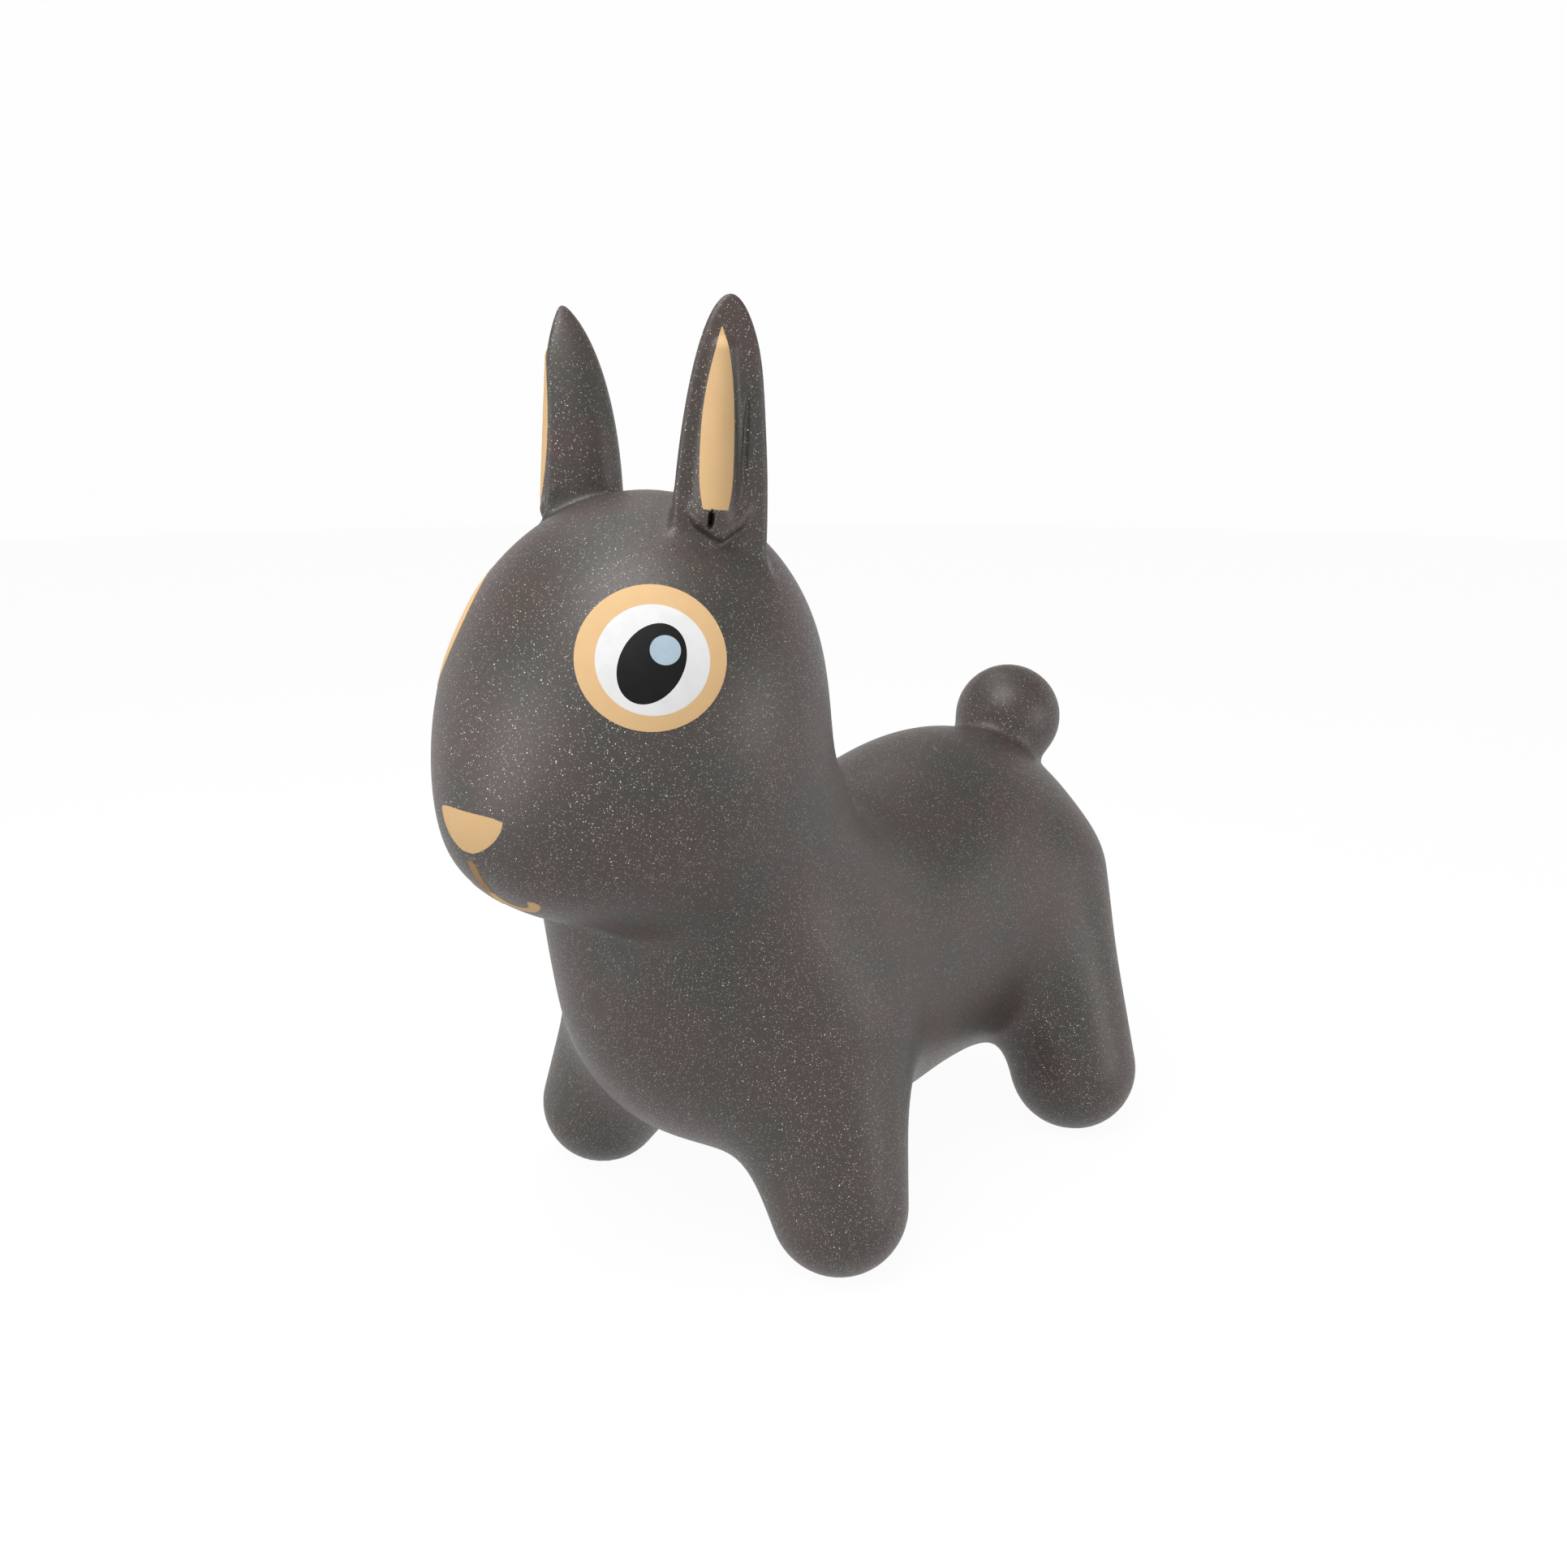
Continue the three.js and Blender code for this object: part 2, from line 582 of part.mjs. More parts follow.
function earNet() {
  const tip = climb(earedField, land(earedField, earMiddle(shaftTop), earAlong.clone().negate()));
  const deep = earSeat.clone().addScaledVector(earSeatNormal, -4 * EAR_SEAM_RADIUS);
  const points = [tip, ...earRings.flat(), deep];
  const at = (i, j) => 1 + i * EAR_SIDES + (j % EAR_SIDES);
  const last = earRings.length - 1;
  const triangles = [];
  for (let j = 0; j < EAR_SIDES; j++) {
    triangles.push(0, at(0, j), at(0, j + 1));
    for (let i = 0; i < last; i++) {
      triangles.push(at(i, j), at(i + 1, j), at(i + 1, j + 1), at(i, j), at(i + 1, j + 1), at(i, j + 1));
    }
    triangles.push(at(last, j), points.length - 1, at(last, j + 1));
  }
  return { points, triangles };
}

const earSurface = earNet();
const earLift = above(earSeat.clone().addScaledVector(earSeamUp, EAR_SEAM_LIFT), earSeamUp);
const earZone = earSeam(0).add(earLift);
const ear = grownSolid(earedField, earSurface, 0)
  .subtract(grownSolid(earedField, earSurface, -WALL))
  .intersect(earZone);

// Prints: thin films, trimmed to a clearance above the skin.
// spot gives the place and the outward normal at a grid point.

const headTrim = grownSolid(bodyField, headNet, GAP);
const earTrim = grownSolid(earedField, earSurface, GAP);

function film(rows, columns, wraps, trim, spot) {
  const lower = [];
  const upper = [];
  for (let i = 0; i <= rows; i++) {
    for (let j = 0; j <= columns - (wraps ? 1 : 0); j++) {
      const { point, normal } = spot(i / rows, j / columns);
      lower.push(point.clone().addScaledVector(normal, -PRINT_THICKNESS));
      upper.push(point.clone().addScaledVector(normal, GAP + PRINT_THICKNESS));
    }
  }
  const perRow = wraps ? columns : columns + 1;
  const half = lower.length;
  const at = (i, j) => i * perRow + (j % perRow);
  const triangles = [];
  const quad = (a, b, c, d) => triangles.push(a, b, c, a, c, d);
  for (let i = 0; i < rows; i++) {
    for (let j = 0; j < columns; j++) {
      const ring = [at(i, j), at(i + 1, j), at(i + 1, j + 1), at(i, j + 1)];
      quad(...ring.map((n) => n + half));
      quad(...ring.reverse());
    }
    if (wraps) continue;
    quad(at(i, 0), at(i + 1, 0), at(i + 1, 0) + half, at(i, 0) + half);
    quad(at(i + 1, columns), at(i, columns), at(i, columns) + half, at(i + 1, columns) + half);
  }
  for (let j = 0; j < columns; j++) {
    quad(at(0, j + 1), at(0, j), at(0, j) + half, at(0, j + 1) + half);
    quad(at(rows, j), at(rows, j + 1), at(rows, j + 1) + half, at(rows, j) + half);
  }
  const points = [...lower, ...upper];
  const volume = triangles.reduce((sum, _, t) => {
    if (t % 3) return sum;
    const [a, b, c] = [points[triangles[t]], points[triangles[t + 1]], points[triangles[t + 2]]];
    return sum + a.dot(b.clone().cross(c));
  }, 0);
  if (volume < 0) triangles.reverse();
  return solidOfMesh({ points, triangles }).subtract(trim);
}

function landed(field, start, direction) {
  const point = land(field, start, direction);
  return { point, normal: outward(field, point) };
}

// Eye: rings and ovals drawn flat in front of the eye and laid back on the head

const eyeCentre = land(bodyField, vec(EYE_X, frontEnd, EYE_Z), vec(0, 1, 0));
const eyeNormal = outward(bodyField, eyeCentre);
const eyeSide = UP.clone().cross(eyeNormal).normalize();
const eyeUp = eyeNormal.clone().cross(eyeSide);
const eyeBack = eyeNormal.clone().negate();

function onEye(side, up) {
  const start = eyeCentre.clone().addScaledVector(eyeSide, side).addScaledVector(eyeUp, up);
  return landed(bodyField, start.addScaledVector(eyeNormal, EYE_RING_RADIUS), eyeBack);
}

function circle(radius, side, up) {
  return (angle) => [side + radius * Math.cos(angle), up + radius * Math.sin(angle)];
}

function pupilEdge(grow) {
  const tilt = radians(PUPIL_TILT);
  return (angle) => {
    const across = (PUPIL_HALF_WIDTH + grow) * Math.cos(angle + tilt);
    const tall = (PUPIL_HALF_HEIGHT + grow) * Math.sin(angle + tilt);
    return [
      across * Math.cos(tilt) + tall * Math.sin(tilt) + PUPIL_SIDE,
      tall * Math.cos(tilt) - across * Math.sin(tilt) - PUPIL_DROP,
    ];
  };
}

function ringFilm(inside, outside, columns) {
  return film(1, columns, true, headTrim, (u, v) => {
    const from = inside(2 * Math.PI * v);
    const to = outside(2 * Math.PI * v);
    return onEye(THREE.MathUtils.lerp(from[0], to[0], u), THREE.MathUtils.lerp(from[1], to[1], u));
  });
}

const eyeRing = ringFilm(
  circle(EYE_WHITE_RADIUS + GAP, 0, 0), circle(EYE_RING_RADIUS, EYE_RING_SIDE, EYE_RING_UP), 24);
const eyeWhite = ringFilm(pupilEdge(GAP), circle(EYE_WHITE_RADIUS, 0, 0), 24);
const pupil = ringFilm(circle(GLINT_RADIUS + GAP, GLINT_SIDE, GLINT_UP), pupilEdge(0), 24);
const glint = film(3, 3, false, headTrim, (u, v) => {
  const s = 2 * u - 1;
  const t = 2 * v - 1;
  const side = GLINT_SIDE + GLINT_RADIUS * s * Math.sqrt(1 - (t * t) / 2);
  const up = GLINT_UP + GLINT_RADIUS * t * Math.sqrt(1 - (s * s) / 2);
  return onEye(side, up);
});

// Nose: a straight top edge over a rounded, narrowing lower edge
const nose = film(6, 6, false, headTrim, (u, v) => {
  const fall = 0.98 * u;
  const halfSpan = NOSE_HALF_WIDTH * (1 - fall ** NOSE_FULLNESS) ** NOSE_POINT;
  const start = vec((2 * v - 1) * halfSpan, frontEnd - NOSE_HALF_WIDTH, NOSE_TOP_Z - NOSE_HEIGHT * fall);
  return landed(bodyField, start, vec(0, 1, 0));
});

// Mouth: a stem under the nose that parts into two hooks, each laid on the muzzle along rays from its centre
const mouthTop = MUZZLE_Z - (NOSE_TOP_Z - NOSE_HEIGHT) + MOUTH_GAP;
const mouthHookTop = mouthTop + MOUTH_STEM;

function mouthPath(u) {
  const hook = MOUTH_HOOK_RADIUS * radians(MOUTH_HOOK_SWEEP);
  const done = u * (MOUTH_STEM + hook);
  if (done < MOUTH_STEM) return { x: 0, z: -mouthTop - done, nx: 1, nz: 0 };
  const angle = Math.PI + (done - MOUTH_STEM) / MOUTH_HOOK_RADIUS;
  const [nx, nz] = [-Math.cos(angle), -Math.sin(angle)];
  return { x: MOUTH_HOOK_RADIUS * (1 - nx), z: -mouthHookTop - MOUTH_HOOK_RADIUS * nz, nx, nz };
}

const muzzleCentre = vec(0, MUZZLE_Y, MUZZLE_Z);
const mouthHook = film(MOUTH_ROWS, 1, false, headTrim, (u, v) => {
  const { x, z, nx, nz } = mouthPath(u);
  const swell = Math.max(0, 1 - (1 - u) / MOUTH_END_SHARE);
  const half = THREE.MathUtils.lerp(MOUTH_LINE, MOUTH_END, swell) / 2;
  const side = half * (2 * v - 1);
  const ray = vec(x + nx * side, -MUZZLE_HALF_LENGTH, z + nz * side).normalize();
  const start = muzzleCentre.clone().addScaledVector(ray, 1.5 * MUZZLE_HALF_LENGTH);
  return landed(bodyField, start, ray.negate());
});
const mouth = mouthHook.add(mirrored(mouthHook));

// Inner ear: a print that widens from a straight foot and comes to a point, over the ridge
const earPrint = film(10, 6, false, earTrim, (u, v) => {
  const along = THREE.MathUtils.lerp(EAR_PRINT_LOW, EAR_PRINT_TOP, u);
  const rise = (along - EAR_PRINT_WIDEST) / (EAR_PRINT_TOP + 1 - EAR_PRINT_WIDEST);
  const fall = (EAR_PRINT_WIDEST - along) / (EAR_PRINT_WIDEST - EAR_PRINT_LOW);
  const half = rise > 0
    ? EAR_PRINT_HALF_WIDTH * (1 - rise ** EAR_PRINT_FULLNESS)
    : EAR_PRINT_HALF_WIDTH - (EAR_PRINT_HALF_WIDTH - EAR_PRINT_FOOT) * fall ** EAR_PRINT_FULLNESS;
  const start = earBase.clone().addScaledVector(earAlong, along)
    .addScaledVector(earAcross, EAR_PRINT_SHIFT + half * (2 * v - 1))
    .addScaledVector(earFacing, EAR_DEPTH);
  return landed(earedField, start, earFacing.clone().negate());
});

// Valve: a collar ring moulded into the belly, and the plug that is pushed up into it

function turned(profile) {
  const outline = [...profile, profile[0]].map(([r, z]) => new THREE.Vector2(r, z));
  const geometry = new THREE.LatheGeometry(outline, 32);
  geometry.rotateX(Math.PI / 2);
  geometry.translate(0, VALVE_Y, valveTop.z - COLLAR_PROUD);
  return solidOf(geometry);
}

const recess = PLUG_HEAD_THICKNESS + GAP;
const collar = turned([
  [COLLAR_RADIUS, 0],
  [COLLAR_RADIUS, COLLAR_HEIGHT],
  [PLUG_SHANK_RADIUS + GAP, COLLAR_HEIGHT],
  [PLUG_SHANK_RADIUS + GAP, recess],
  [PLUG_HEAD_RADIUS + GAP, recess],
  [PLUG_HEAD_RADIUS + GAP, 0],
]);
const plug = turned([
  [0, 0],
  [PLUG_HEAD_RADIUS, 0],
  [PLUG_HEAD_RADIUS, PLUG_HEAD_THICKNESS],
  [PLUG_SHANK_RADIUS, PLUG_HEAD_THICKNESS],
  [PLUG_SHANK_RADIUS, COLLAR_HEIGHT],
  [PLUG_TIP_RADIUS, PLUG_LENGTH],
  [0, PLUG_LENGTH],
]);

// The assembly

const hopper = new THREE.Group();

function addPiece(name, solid, look) {
  const mesh = new THREE.Mesh(geometryOf(solid), new THREE.MeshStandardMaterial(look));
  mesh.name = name;
  hopper.add(mesh);
}

function addPair(name, solid, look) {
  addPiece(name.replace('SIDE', 'left'), solid, look);
  addPiece(name.replace('SIDE', 'right'), mirrored(solid), look);
}

addPiece('torso', torso, PVC);
addPiece('head', headSkin, PVC);
addPair('front_SIDE_leg', frontLeg, PVC);
addPair('hind_SIDE_leg', hindLeg, PVC);
addPiece('tail', tail, PVC);
addPair('SIDE_ear', ear, PVC);
addPair('SIDE_ear_print', earPrint, TAN);
addPair('SIDE_eye_ring', eyeRing, TAN);
addPair('SIDE_eye_white', eyeWhite, WHITE);
addPair('SIDE_pupil', pupil, BLACK);
addPair('SIDE_eye_glint', glint, PALE_BLUE);
addPiece('nose_print', nose, TAN);
addPiece('mouth_print', mouth, TAN);
addPiece('valve_collar', collar, PVC);
addPiece('valve_plug', plug, PVC);

export default hopper;
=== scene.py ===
# %% [markdown]
# # A bunny hopper
# A bunny hopper is a hollow PVC animal, blown up with air, that a small child sits on and bounces. The imported CAD
# part is the fixed frame: its bodies are what moves, and most pieces made here ride on one of them. The CAD solids
# are coarse shells, so each one is replaced by a smooth surface of the same form.

import math

import bpy
import numpy as np
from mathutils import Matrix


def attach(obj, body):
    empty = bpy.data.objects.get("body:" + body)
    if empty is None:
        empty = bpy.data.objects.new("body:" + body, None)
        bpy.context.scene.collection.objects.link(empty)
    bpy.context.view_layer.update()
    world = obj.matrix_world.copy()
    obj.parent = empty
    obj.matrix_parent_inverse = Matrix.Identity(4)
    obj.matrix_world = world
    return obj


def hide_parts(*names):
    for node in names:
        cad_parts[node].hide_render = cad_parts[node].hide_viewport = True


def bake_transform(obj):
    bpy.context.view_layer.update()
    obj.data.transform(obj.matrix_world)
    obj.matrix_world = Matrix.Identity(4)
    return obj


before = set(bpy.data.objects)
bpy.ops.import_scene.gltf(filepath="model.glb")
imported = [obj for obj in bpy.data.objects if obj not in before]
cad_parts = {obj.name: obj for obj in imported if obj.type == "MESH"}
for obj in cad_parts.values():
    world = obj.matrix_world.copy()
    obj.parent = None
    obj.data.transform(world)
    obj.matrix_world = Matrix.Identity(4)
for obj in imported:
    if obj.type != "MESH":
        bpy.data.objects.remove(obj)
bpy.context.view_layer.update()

# %% [markdown]
# ## The form as a field
# The real skin is cast inside one mould, so its regions run into each other with no edges. Modelling it as joined
# balls and tubes would leave seams, and sculpting would not repeat. A field has neither fault: it is a number at each
# place in space, negative inside the toy and zero on its skin, and two fields melt together with a rounded corner.
# Lengths here are millimetres, as in the CAD part.


# %% Field helpers
def smooth_min(a, b, k):
    """The smaller of two fields, less k/6 times h cubed, where h falls from 1 to 0 as the fields part by k."""
    h = np.maximum(k - np.abs(a - b), 0) / k
    return np.minimum(a, b) - h**3 * k / 6


def smooth_max(a, b, k):
    """The larger of two fields with the corner rounded: minus the smooth minimum of their negatives."""
    return -smooth_min(-a, -b, k)


def egg(p, centre, radii):
    """Near an ellipsoid's distance: |q| (|q| - 1) / |q / r|, where q is the place divided by the radii."""
    q = (p - np.array(centre)) / np.array(radii)
    reach = np.linalg.norm(q, axis=-1) + 1e-6
    return reach * (reach - 1) / (np.linalg.norm(q / np.array(radii), axis=-1) + 1e-9)


def limb(p, hip, hip_radius, foot, foot_radius):
    """The distance from a ball that goes from hip to foot while its radius changes evenly: a round-ended cone."""
    axis = np.subtract(foot, hip)
    drop = hip_radius - foot_radius
    length2 = axis @ axis
    side2 = length2 - drop**2
    from_hip = p - np.array(hip)
    along = from_hip @ axis
    beyond = along - length2
    across2 = np.sum((from_hip * length2 - axis * along[..., None]) ** 2, axis=-1)
    turn = np.sign(drop) * drop**2 * across2
    cone = (np.sqrt(across2 * side2 / length2) + along * drop) / length2 - hip_radius
    low = np.sqrt(across2 + beyond**2 * length2) / length2 - foot_radius
    high = np.sqrt(across2 + along**2 * length2) / length2 - hip_radius
    cone = np.where(np.sign(along) * side2 * along**2 * length2 < turn, high, cone)
    return np.where(np.sign(beyond) * side2 * beyond**2 * length2 > turn, low, cone)


ball = egg(np.array([14.0, 0, 0]), (0, 0, 0), (10, 10, 10))
print("the field 4 mm outside a ball of radius 10 is", ball.round(3))

# %% [markdown]
# ## Body, legs, head and tail
# On the toy the chest, rump, legs and head are swellings of one skin. Each is an egg or a tapered limb here, with its
# middle and its half sizes in millimetres, and each pair melts over a length of its own: a tight fold under the chin,
# a wide one at the cheeks. The soles are cut flat, because a foot full of air rests on a flat patch.

# %% Body, legs, head and tail
SOLE_CUT, SOLE_EDGE = 3.5, 3
FRONT_LEG = dict(hip=(58, -66.5, 119), hip_radius=56.5, foot=(98, -84.5, 38.5 - SOLE_CUT), foot_radius=38.5)
HIND_LEG = dict(hip=(56, 170.5, 157.5), hip_radius=42.5, foot=(98.5, 155.5, 41 - SOLE_CUT), foot_radius=41)
CHEST = dict(centre=(0, -33, 130), radii=(99.5, 132, 95.5))
RUMP = dict(centre=(0, 129.5, 149.5), radii=(93, 121.5, 107))
NECK = dict(centre=(0, -79.5, 173.5), radii=(90, 84, 69))
TRUNK_BLEND, LEG_BLEND, NECK_BLEND = 122, 45, 64.5
HEAD = np.array([0, -140, 315])
HEAD_RADII = np.array([104, 98.5, 107])
HEAD_TAPER, TAPER_END, HEAD_LEAN = 0.046, 1.3, 0.108
MUZZLE = np.array([0, -121.5, 256])
MUZZLE_RADII = np.array([69, 116.5, 44])
MUZZLE_BLEND = 77.5
CHIN_FOLD, CHEEK_GAIN, CHEEK_X = 29.5, 3.6, 110
TAIL = np.array([0, 211, 253.5])
TAIL_RADIUS, TAIL_BLEND = 36, 20


def head_field(p):
    """An egg that narrows by its taper from middle to top and leans back, melted into a muzzle."""
    z = p[..., 2] - HEAD[2]
    narrow = 1 - HEAD_TAPER * np.clip(z / HEAD_RADII[2], -TAPER_END, TAPER_END)
    leaned = np.stack([p[..., 0] / narrow, (p[..., 1] - HEAD[1] - HEAD_LEAN * z) / narrow, z], -1)
    return smooth_min(egg(leaned, (0, 0, 0), HEAD_RADII), egg(p, MUZZLE, MUZZLE_RADII), MUZZLE_BLEND)


def trunk_field(p):
    """Chest and rump eggs melted into each other, into four legs and into a neck. Right legs mirror the left."""
    folded = np.concatenate([np.abs(p[..., :1]), p[..., 1:]], -1)
    trunk = smooth_min(egg(p, **CHEST), egg(p, **RUMP), TRUNK_BLEND)
    legs = np.minimum(limb(folded, **FRONT_LEG), limb(folded, **HIND_LEG))
    return smooth_min(smooth_min(trunk, legs, LEG_BLEND), egg(p, **NECK), NECK_BLEND)


def body_field(p):
    """Trunk and head, with a fold that widens smoothly from chin to cheek, a ball of a tail, and flat soles."""
    side = np.minimum(np.abs(p[..., 0]) / CHEEK_X, 1)
    fold = CHIN_FOLD * (1 + CHEEK_GAIN * side**2 * (3 - 2 * side))
    tail = np.linalg.norm(p - TAIL, axis=-1) - TAIL_RADIUS
    whole = smooth_min(smooth_min(trunk_field(p), head_field(p), fold), tail, TAIL_BLEND)
    return smooth_max(whole, -p[..., 2], SOLE_EDGE)


crown = HEAD + HEAD_RADII[2] * np.array([0, HEAD_LEAN, 1])
print("the field at the crown of the head", crown.round(1), "is", body_field(crown).round(3))

# %% [markdown]
# ## Points on the skin
# Every mesh below has its points set on the field's surface, as a mould sets the PVC. Two walks do it: settling moves
# a point that is already close straight to the skin, and landing goes in a chosen direction, as a printing pad does.

# %% Settling and landing
LEAST_SLOPE2, STRIDE = 0.05, 0.7  # both keep steps short, so that a walk closes in on the skin


def slope(field, p, step=0.4):
    """How fast the field grows along X, Y and Z: the difference one step to either side, over two steps."""
    shifts = np.eye(3) * step
    return np.stack([field(p + s) - field(p - s) for s in shifts], -1) / (2 * step)


def normals_of(field, p):
    """The field's slope at the points, at unit length: the way straight out of the skin."""
    g = slope(field, p)
    return g / np.linalg.norm(g, axis=-1, keepdims=True)


def settle(field, p, rounds=5):
    """Moves points onto the surface: each round goes back along the slope by the field over the slope squared."""
    for _ in range(rounds):
        g = slope(field, p)
        p = p - g * (field(p) / np.maximum(np.sum(g**2, axis=-1), LEAST_SLOPE2))[..., None]
    return p


def land(field, start, direction, rounds=90):
    """Walks from start along direction to the skin, a stride times the field's value at a time."""
    p = np.array(start, float)
    for _ in range(rounds):
        p = p + direction * (STRIDE * field(p))[..., None]
    return p


chin = land(body_field, np.array([[0, -200.0, 150]]), np.array([0, 0, 1.0]))
print("chin fold at z", chin[0, 2].round(1))

# %% [markdown]
# ## A mesh from a field
# A skin that splits into legs, ears and a tail is no single grid of two parameters, so a surface net is used: space is
# cut into small cubes, each cube that the skin crosses gets one point, and the four cubes round every crossed edge are
# joined by a face. All cubes are worked on at once as arrays. The points are then spread evenly and set on the skin.


# %% Points in the cubes
def cube_points(value):
    """Numbers the crossed cubes, and sums and counts the crossings on each one's edges, in grid steps."""
    count = np.array(value.shape) - 1
    index = np.stack(np.meshgrid(*[np.arange(n + 1.0) for n in count], indexing="ij"), -1)
    total = np.zeros((*count, 3))
    hits = np.zeros(tuple(count))
    for a in range(3):
        start = np.take(value, range(count[a]), axis=a)
        end = np.take(value, range(1, count[a] + 1), axis=a)
        crossed = (start < 0) != (end < 0)
        part = np.where(crossed, start / np.where(crossed, start - end, 1), 0)
        spot = np.take(index, range(count[a]), axis=a) + part[..., None] * np.eye(3)[a]
        others = [k for k in range(3) if k != a]
        for shift in np.ndindex(2, 2):
            cut = [slice(None)] * 3
            for k, s in zip(others, shift):
                cut[k] = slice(s, count[k] + s)
            total += np.where(crossed[tuple(cut)][..., None], spot[tuple(cut)], 0)
            hits += crossed[tuple(cut)]
    used = hits > 0
    number = np.full(tuple(count), -1)
    number[used] = np.arange(used.sum())
    return number, total[used], hits[used][:, None]


sample = np.linalg.norm(np.indices((9, 9, 9)) - 4.0, axis=0) - 3
cubes, _, crossings = cube_points(sample)
print("a ball of radius 3 crosses", len(crossings), "of", cubes.size, "cubes")


# %% Faces between the cubes
def cube_faces(value, number):
    """Joins the four cubes round every edge that the skin crosses, turned so that the face looks outwards."""
    count = np.array(value.shape) - 1
    faces = []
    for a in range(3):
        b, c = (a + 1) % 3, (a + 2) % 3
        cut = [slice(None)] * 3
        cut[b], cut[c] = slice(1, count[b]), slice(1, count[c])
        inside = value[tuple(cut)] < 0
        leaving = np.take(inside, range(count[a]), axis=a)
        crossed = leaving != np.take(inside, range(1, count[a] + 1), axis=a)
        ring = []
        for db, dc in ((1, 1), (0, 1), (0, 0), (1, 0)):
            near = [slice(None)] * 3
            near[b], near[c] = slice(db, count[b] - 1 + db), slice(dc, count[c] - 1 + dc)
            ring.append(number[tuple(near)][crossed])
        quads = np.stack(ring, -1)
        faces.append(np.where(leaving[crossed][:, None], quads, quads[:, ::-1]))
    return np.concatenate(faces)


print("and gets", len(cube_faces(sample, cubes)), "faces")


# %% Surface net
def evened(points, faces):
    """Each point goes half way to the mean of the points that share an edge with it."""
    ends = np.concatenate([faces, np.roll(faces, 1, axis=1)], 1).reshape(-1)
    mates = np.concatenate([np.roll(faces, 1, axis=1), faces], 1).reshape(-1)
    near = np.stack([np.bincount(ends, points[mates, k], len(points)) for k in range(3)], -1)
    return (points + near / np.bincount(ends, minlength=len(points))[:, None]) / 2


def surface_net(field, low, high, cell, rounds=4):
    """A cube's point is the mean of its edges' crossings. Rounds of evening and settling finish the net."""
    low, high = np.array(low, float), np.array(high, float)
    count = np.ceil((high - low) / cell).astype(int)
    step = (high - low) / count
    ticks = [low[k] + step[k] * np.arange(count[k] + 1) for k in range(3)]
    grid = np.stack(np.meshgrid(*ticks, indexing="ij"), -1)
    value = np.stack([field(slab) for slab in grid])
    number, total, hits = cube_points(value)
    points = low + step * total / hits
    faces = cube_faces(value, number)
    for _ in range(rounds):
        points = settle(field, evened(points, faces), 2)
    return settle(field, points), faces


tail_points, _ = surface_net(lambda p: egg(p, TAIL, (TAIL_RADIUS,) * 3), TAIL - 40, TAIL + 40, 8)
print("a net of the tail's ball has radius", np.linalg.norm(tail_points - TAIL, axis=1).mean().round(3))


# %% Mesh objects
def only_used(points, faces):
    """Leaves out the points that no face uses, and renumbers the faces."""
    kept, numbers = np.unique(faces, return_inverse=True)
    return points[kept], numbers.reshape(faces.shape)


def add_mesh(name, points, faces, material, normals=None):
    """A smooth-shaded mesh object at the origin, from points in millimetres, with the field's normals if given."""
    mesh = bpy.data.meshes.new(name)
    mesh.from_pydata((np.asarray(points) / 1000).tolist(), [], np.asarray(faces).tolist())
    mesh.polygons.foreach_set("use_smooth", np.ones(len(mesh.polygons), bool))
    if normals is not None:
        mesh.normals_split_custom_set_from_vertices(np.asarray(normals).tolist())
    mesh.materials.append(material)
    mesh.update()
    piece = bpy.data.objects.new(name, mesh)
    bpy.context.scene.collection.objects.link(piece)
    print(f"{name}: {len(points)} points, {len(faces)} faces")
    return piece


# %% [markdown]
# ## Finishes
# Nodes are added by one small function. Colours are written as sRGB hex, as a picture shows them, and turned to the
# linear numbers that a shader works with. Patterns read Object coordinates in metres, multiplied by 1000, so that
# every pattern size below is in millimetres.


# %% Node and colour helpers
def linear(hex_colour):
    """Linear RGBA from sRGB hex: c/12.92 below 0.04045, else ((c + 0.055)/1.055) to the power 2.4."""
    c = np.array([int(hex_colour[k:k + 2], 16) for k in (1, 3, 5)]) / 255
    return (*np.where(c < 0.04045, c / 12.92, ((c + 0.055) / 1.055) ** 2.4), 1.0)


def add_node(tree, kind, settings=None, **inputs):
    """Adds a node. settings are its own fields; inputs are values, or sockets to link, by name or number."""
    node = tree.nodes.new("ShaderNode" + kind)
    for field, value in (settings or {}).items():
        setattr(node, field, value)
    for key, value in inputs.items():
        socket = node.inputs[int(key[1:])] if key[1:].isdigit() else node.inputs[key.replace("_", " ")]
        if isinstance(value, bpy.types.NodeSocket):
            tree.links.new(value, socket)
        else:
            socket.default_value = value
    return node


def start_material(name):
    """A material with its node tree and its Principled shader."""
    material = bpy.data.materials.new(name)
    material.use_nodes = True
    return material, material.node_tree, material.node_tree.nodes["Principled BSDF"]


def millimetres(tree):
    """The place on the piece, in millimetres, as a socket."""
    place = add_node(tree, "TexCoord").outputs["Object"]
    return add_node(tree, "VectorMath", {"operation": "SCALE"}, Vector=place, Scale=1000.0).outputs["Vector"]


def set_ramp(ramp, stops):
    """Sets a colour ramp to stops of place and sRGB hex, from its first end to its last."""
    for element, (place, tint) in zip(ramp.elements, (stops[0], stops[-1])):
        element.position = place
        element.color = linear(tint)
    for place, tint in stops[1:-1]:
        ramp.elements.new(place).color = linear(tint)


print("sRGB #808080 is", round(linear("#808080")[0], 3), "in linear light")

# %% [markdown]
# ## Glitter PVC
# The skin is soft PVC paste with glitter stirred in, cast against a smooth mould. A picture of glitter would repeat
# and stretch, so it is worked out in space: a random net gives each fleck its place, size, tilt and tint.

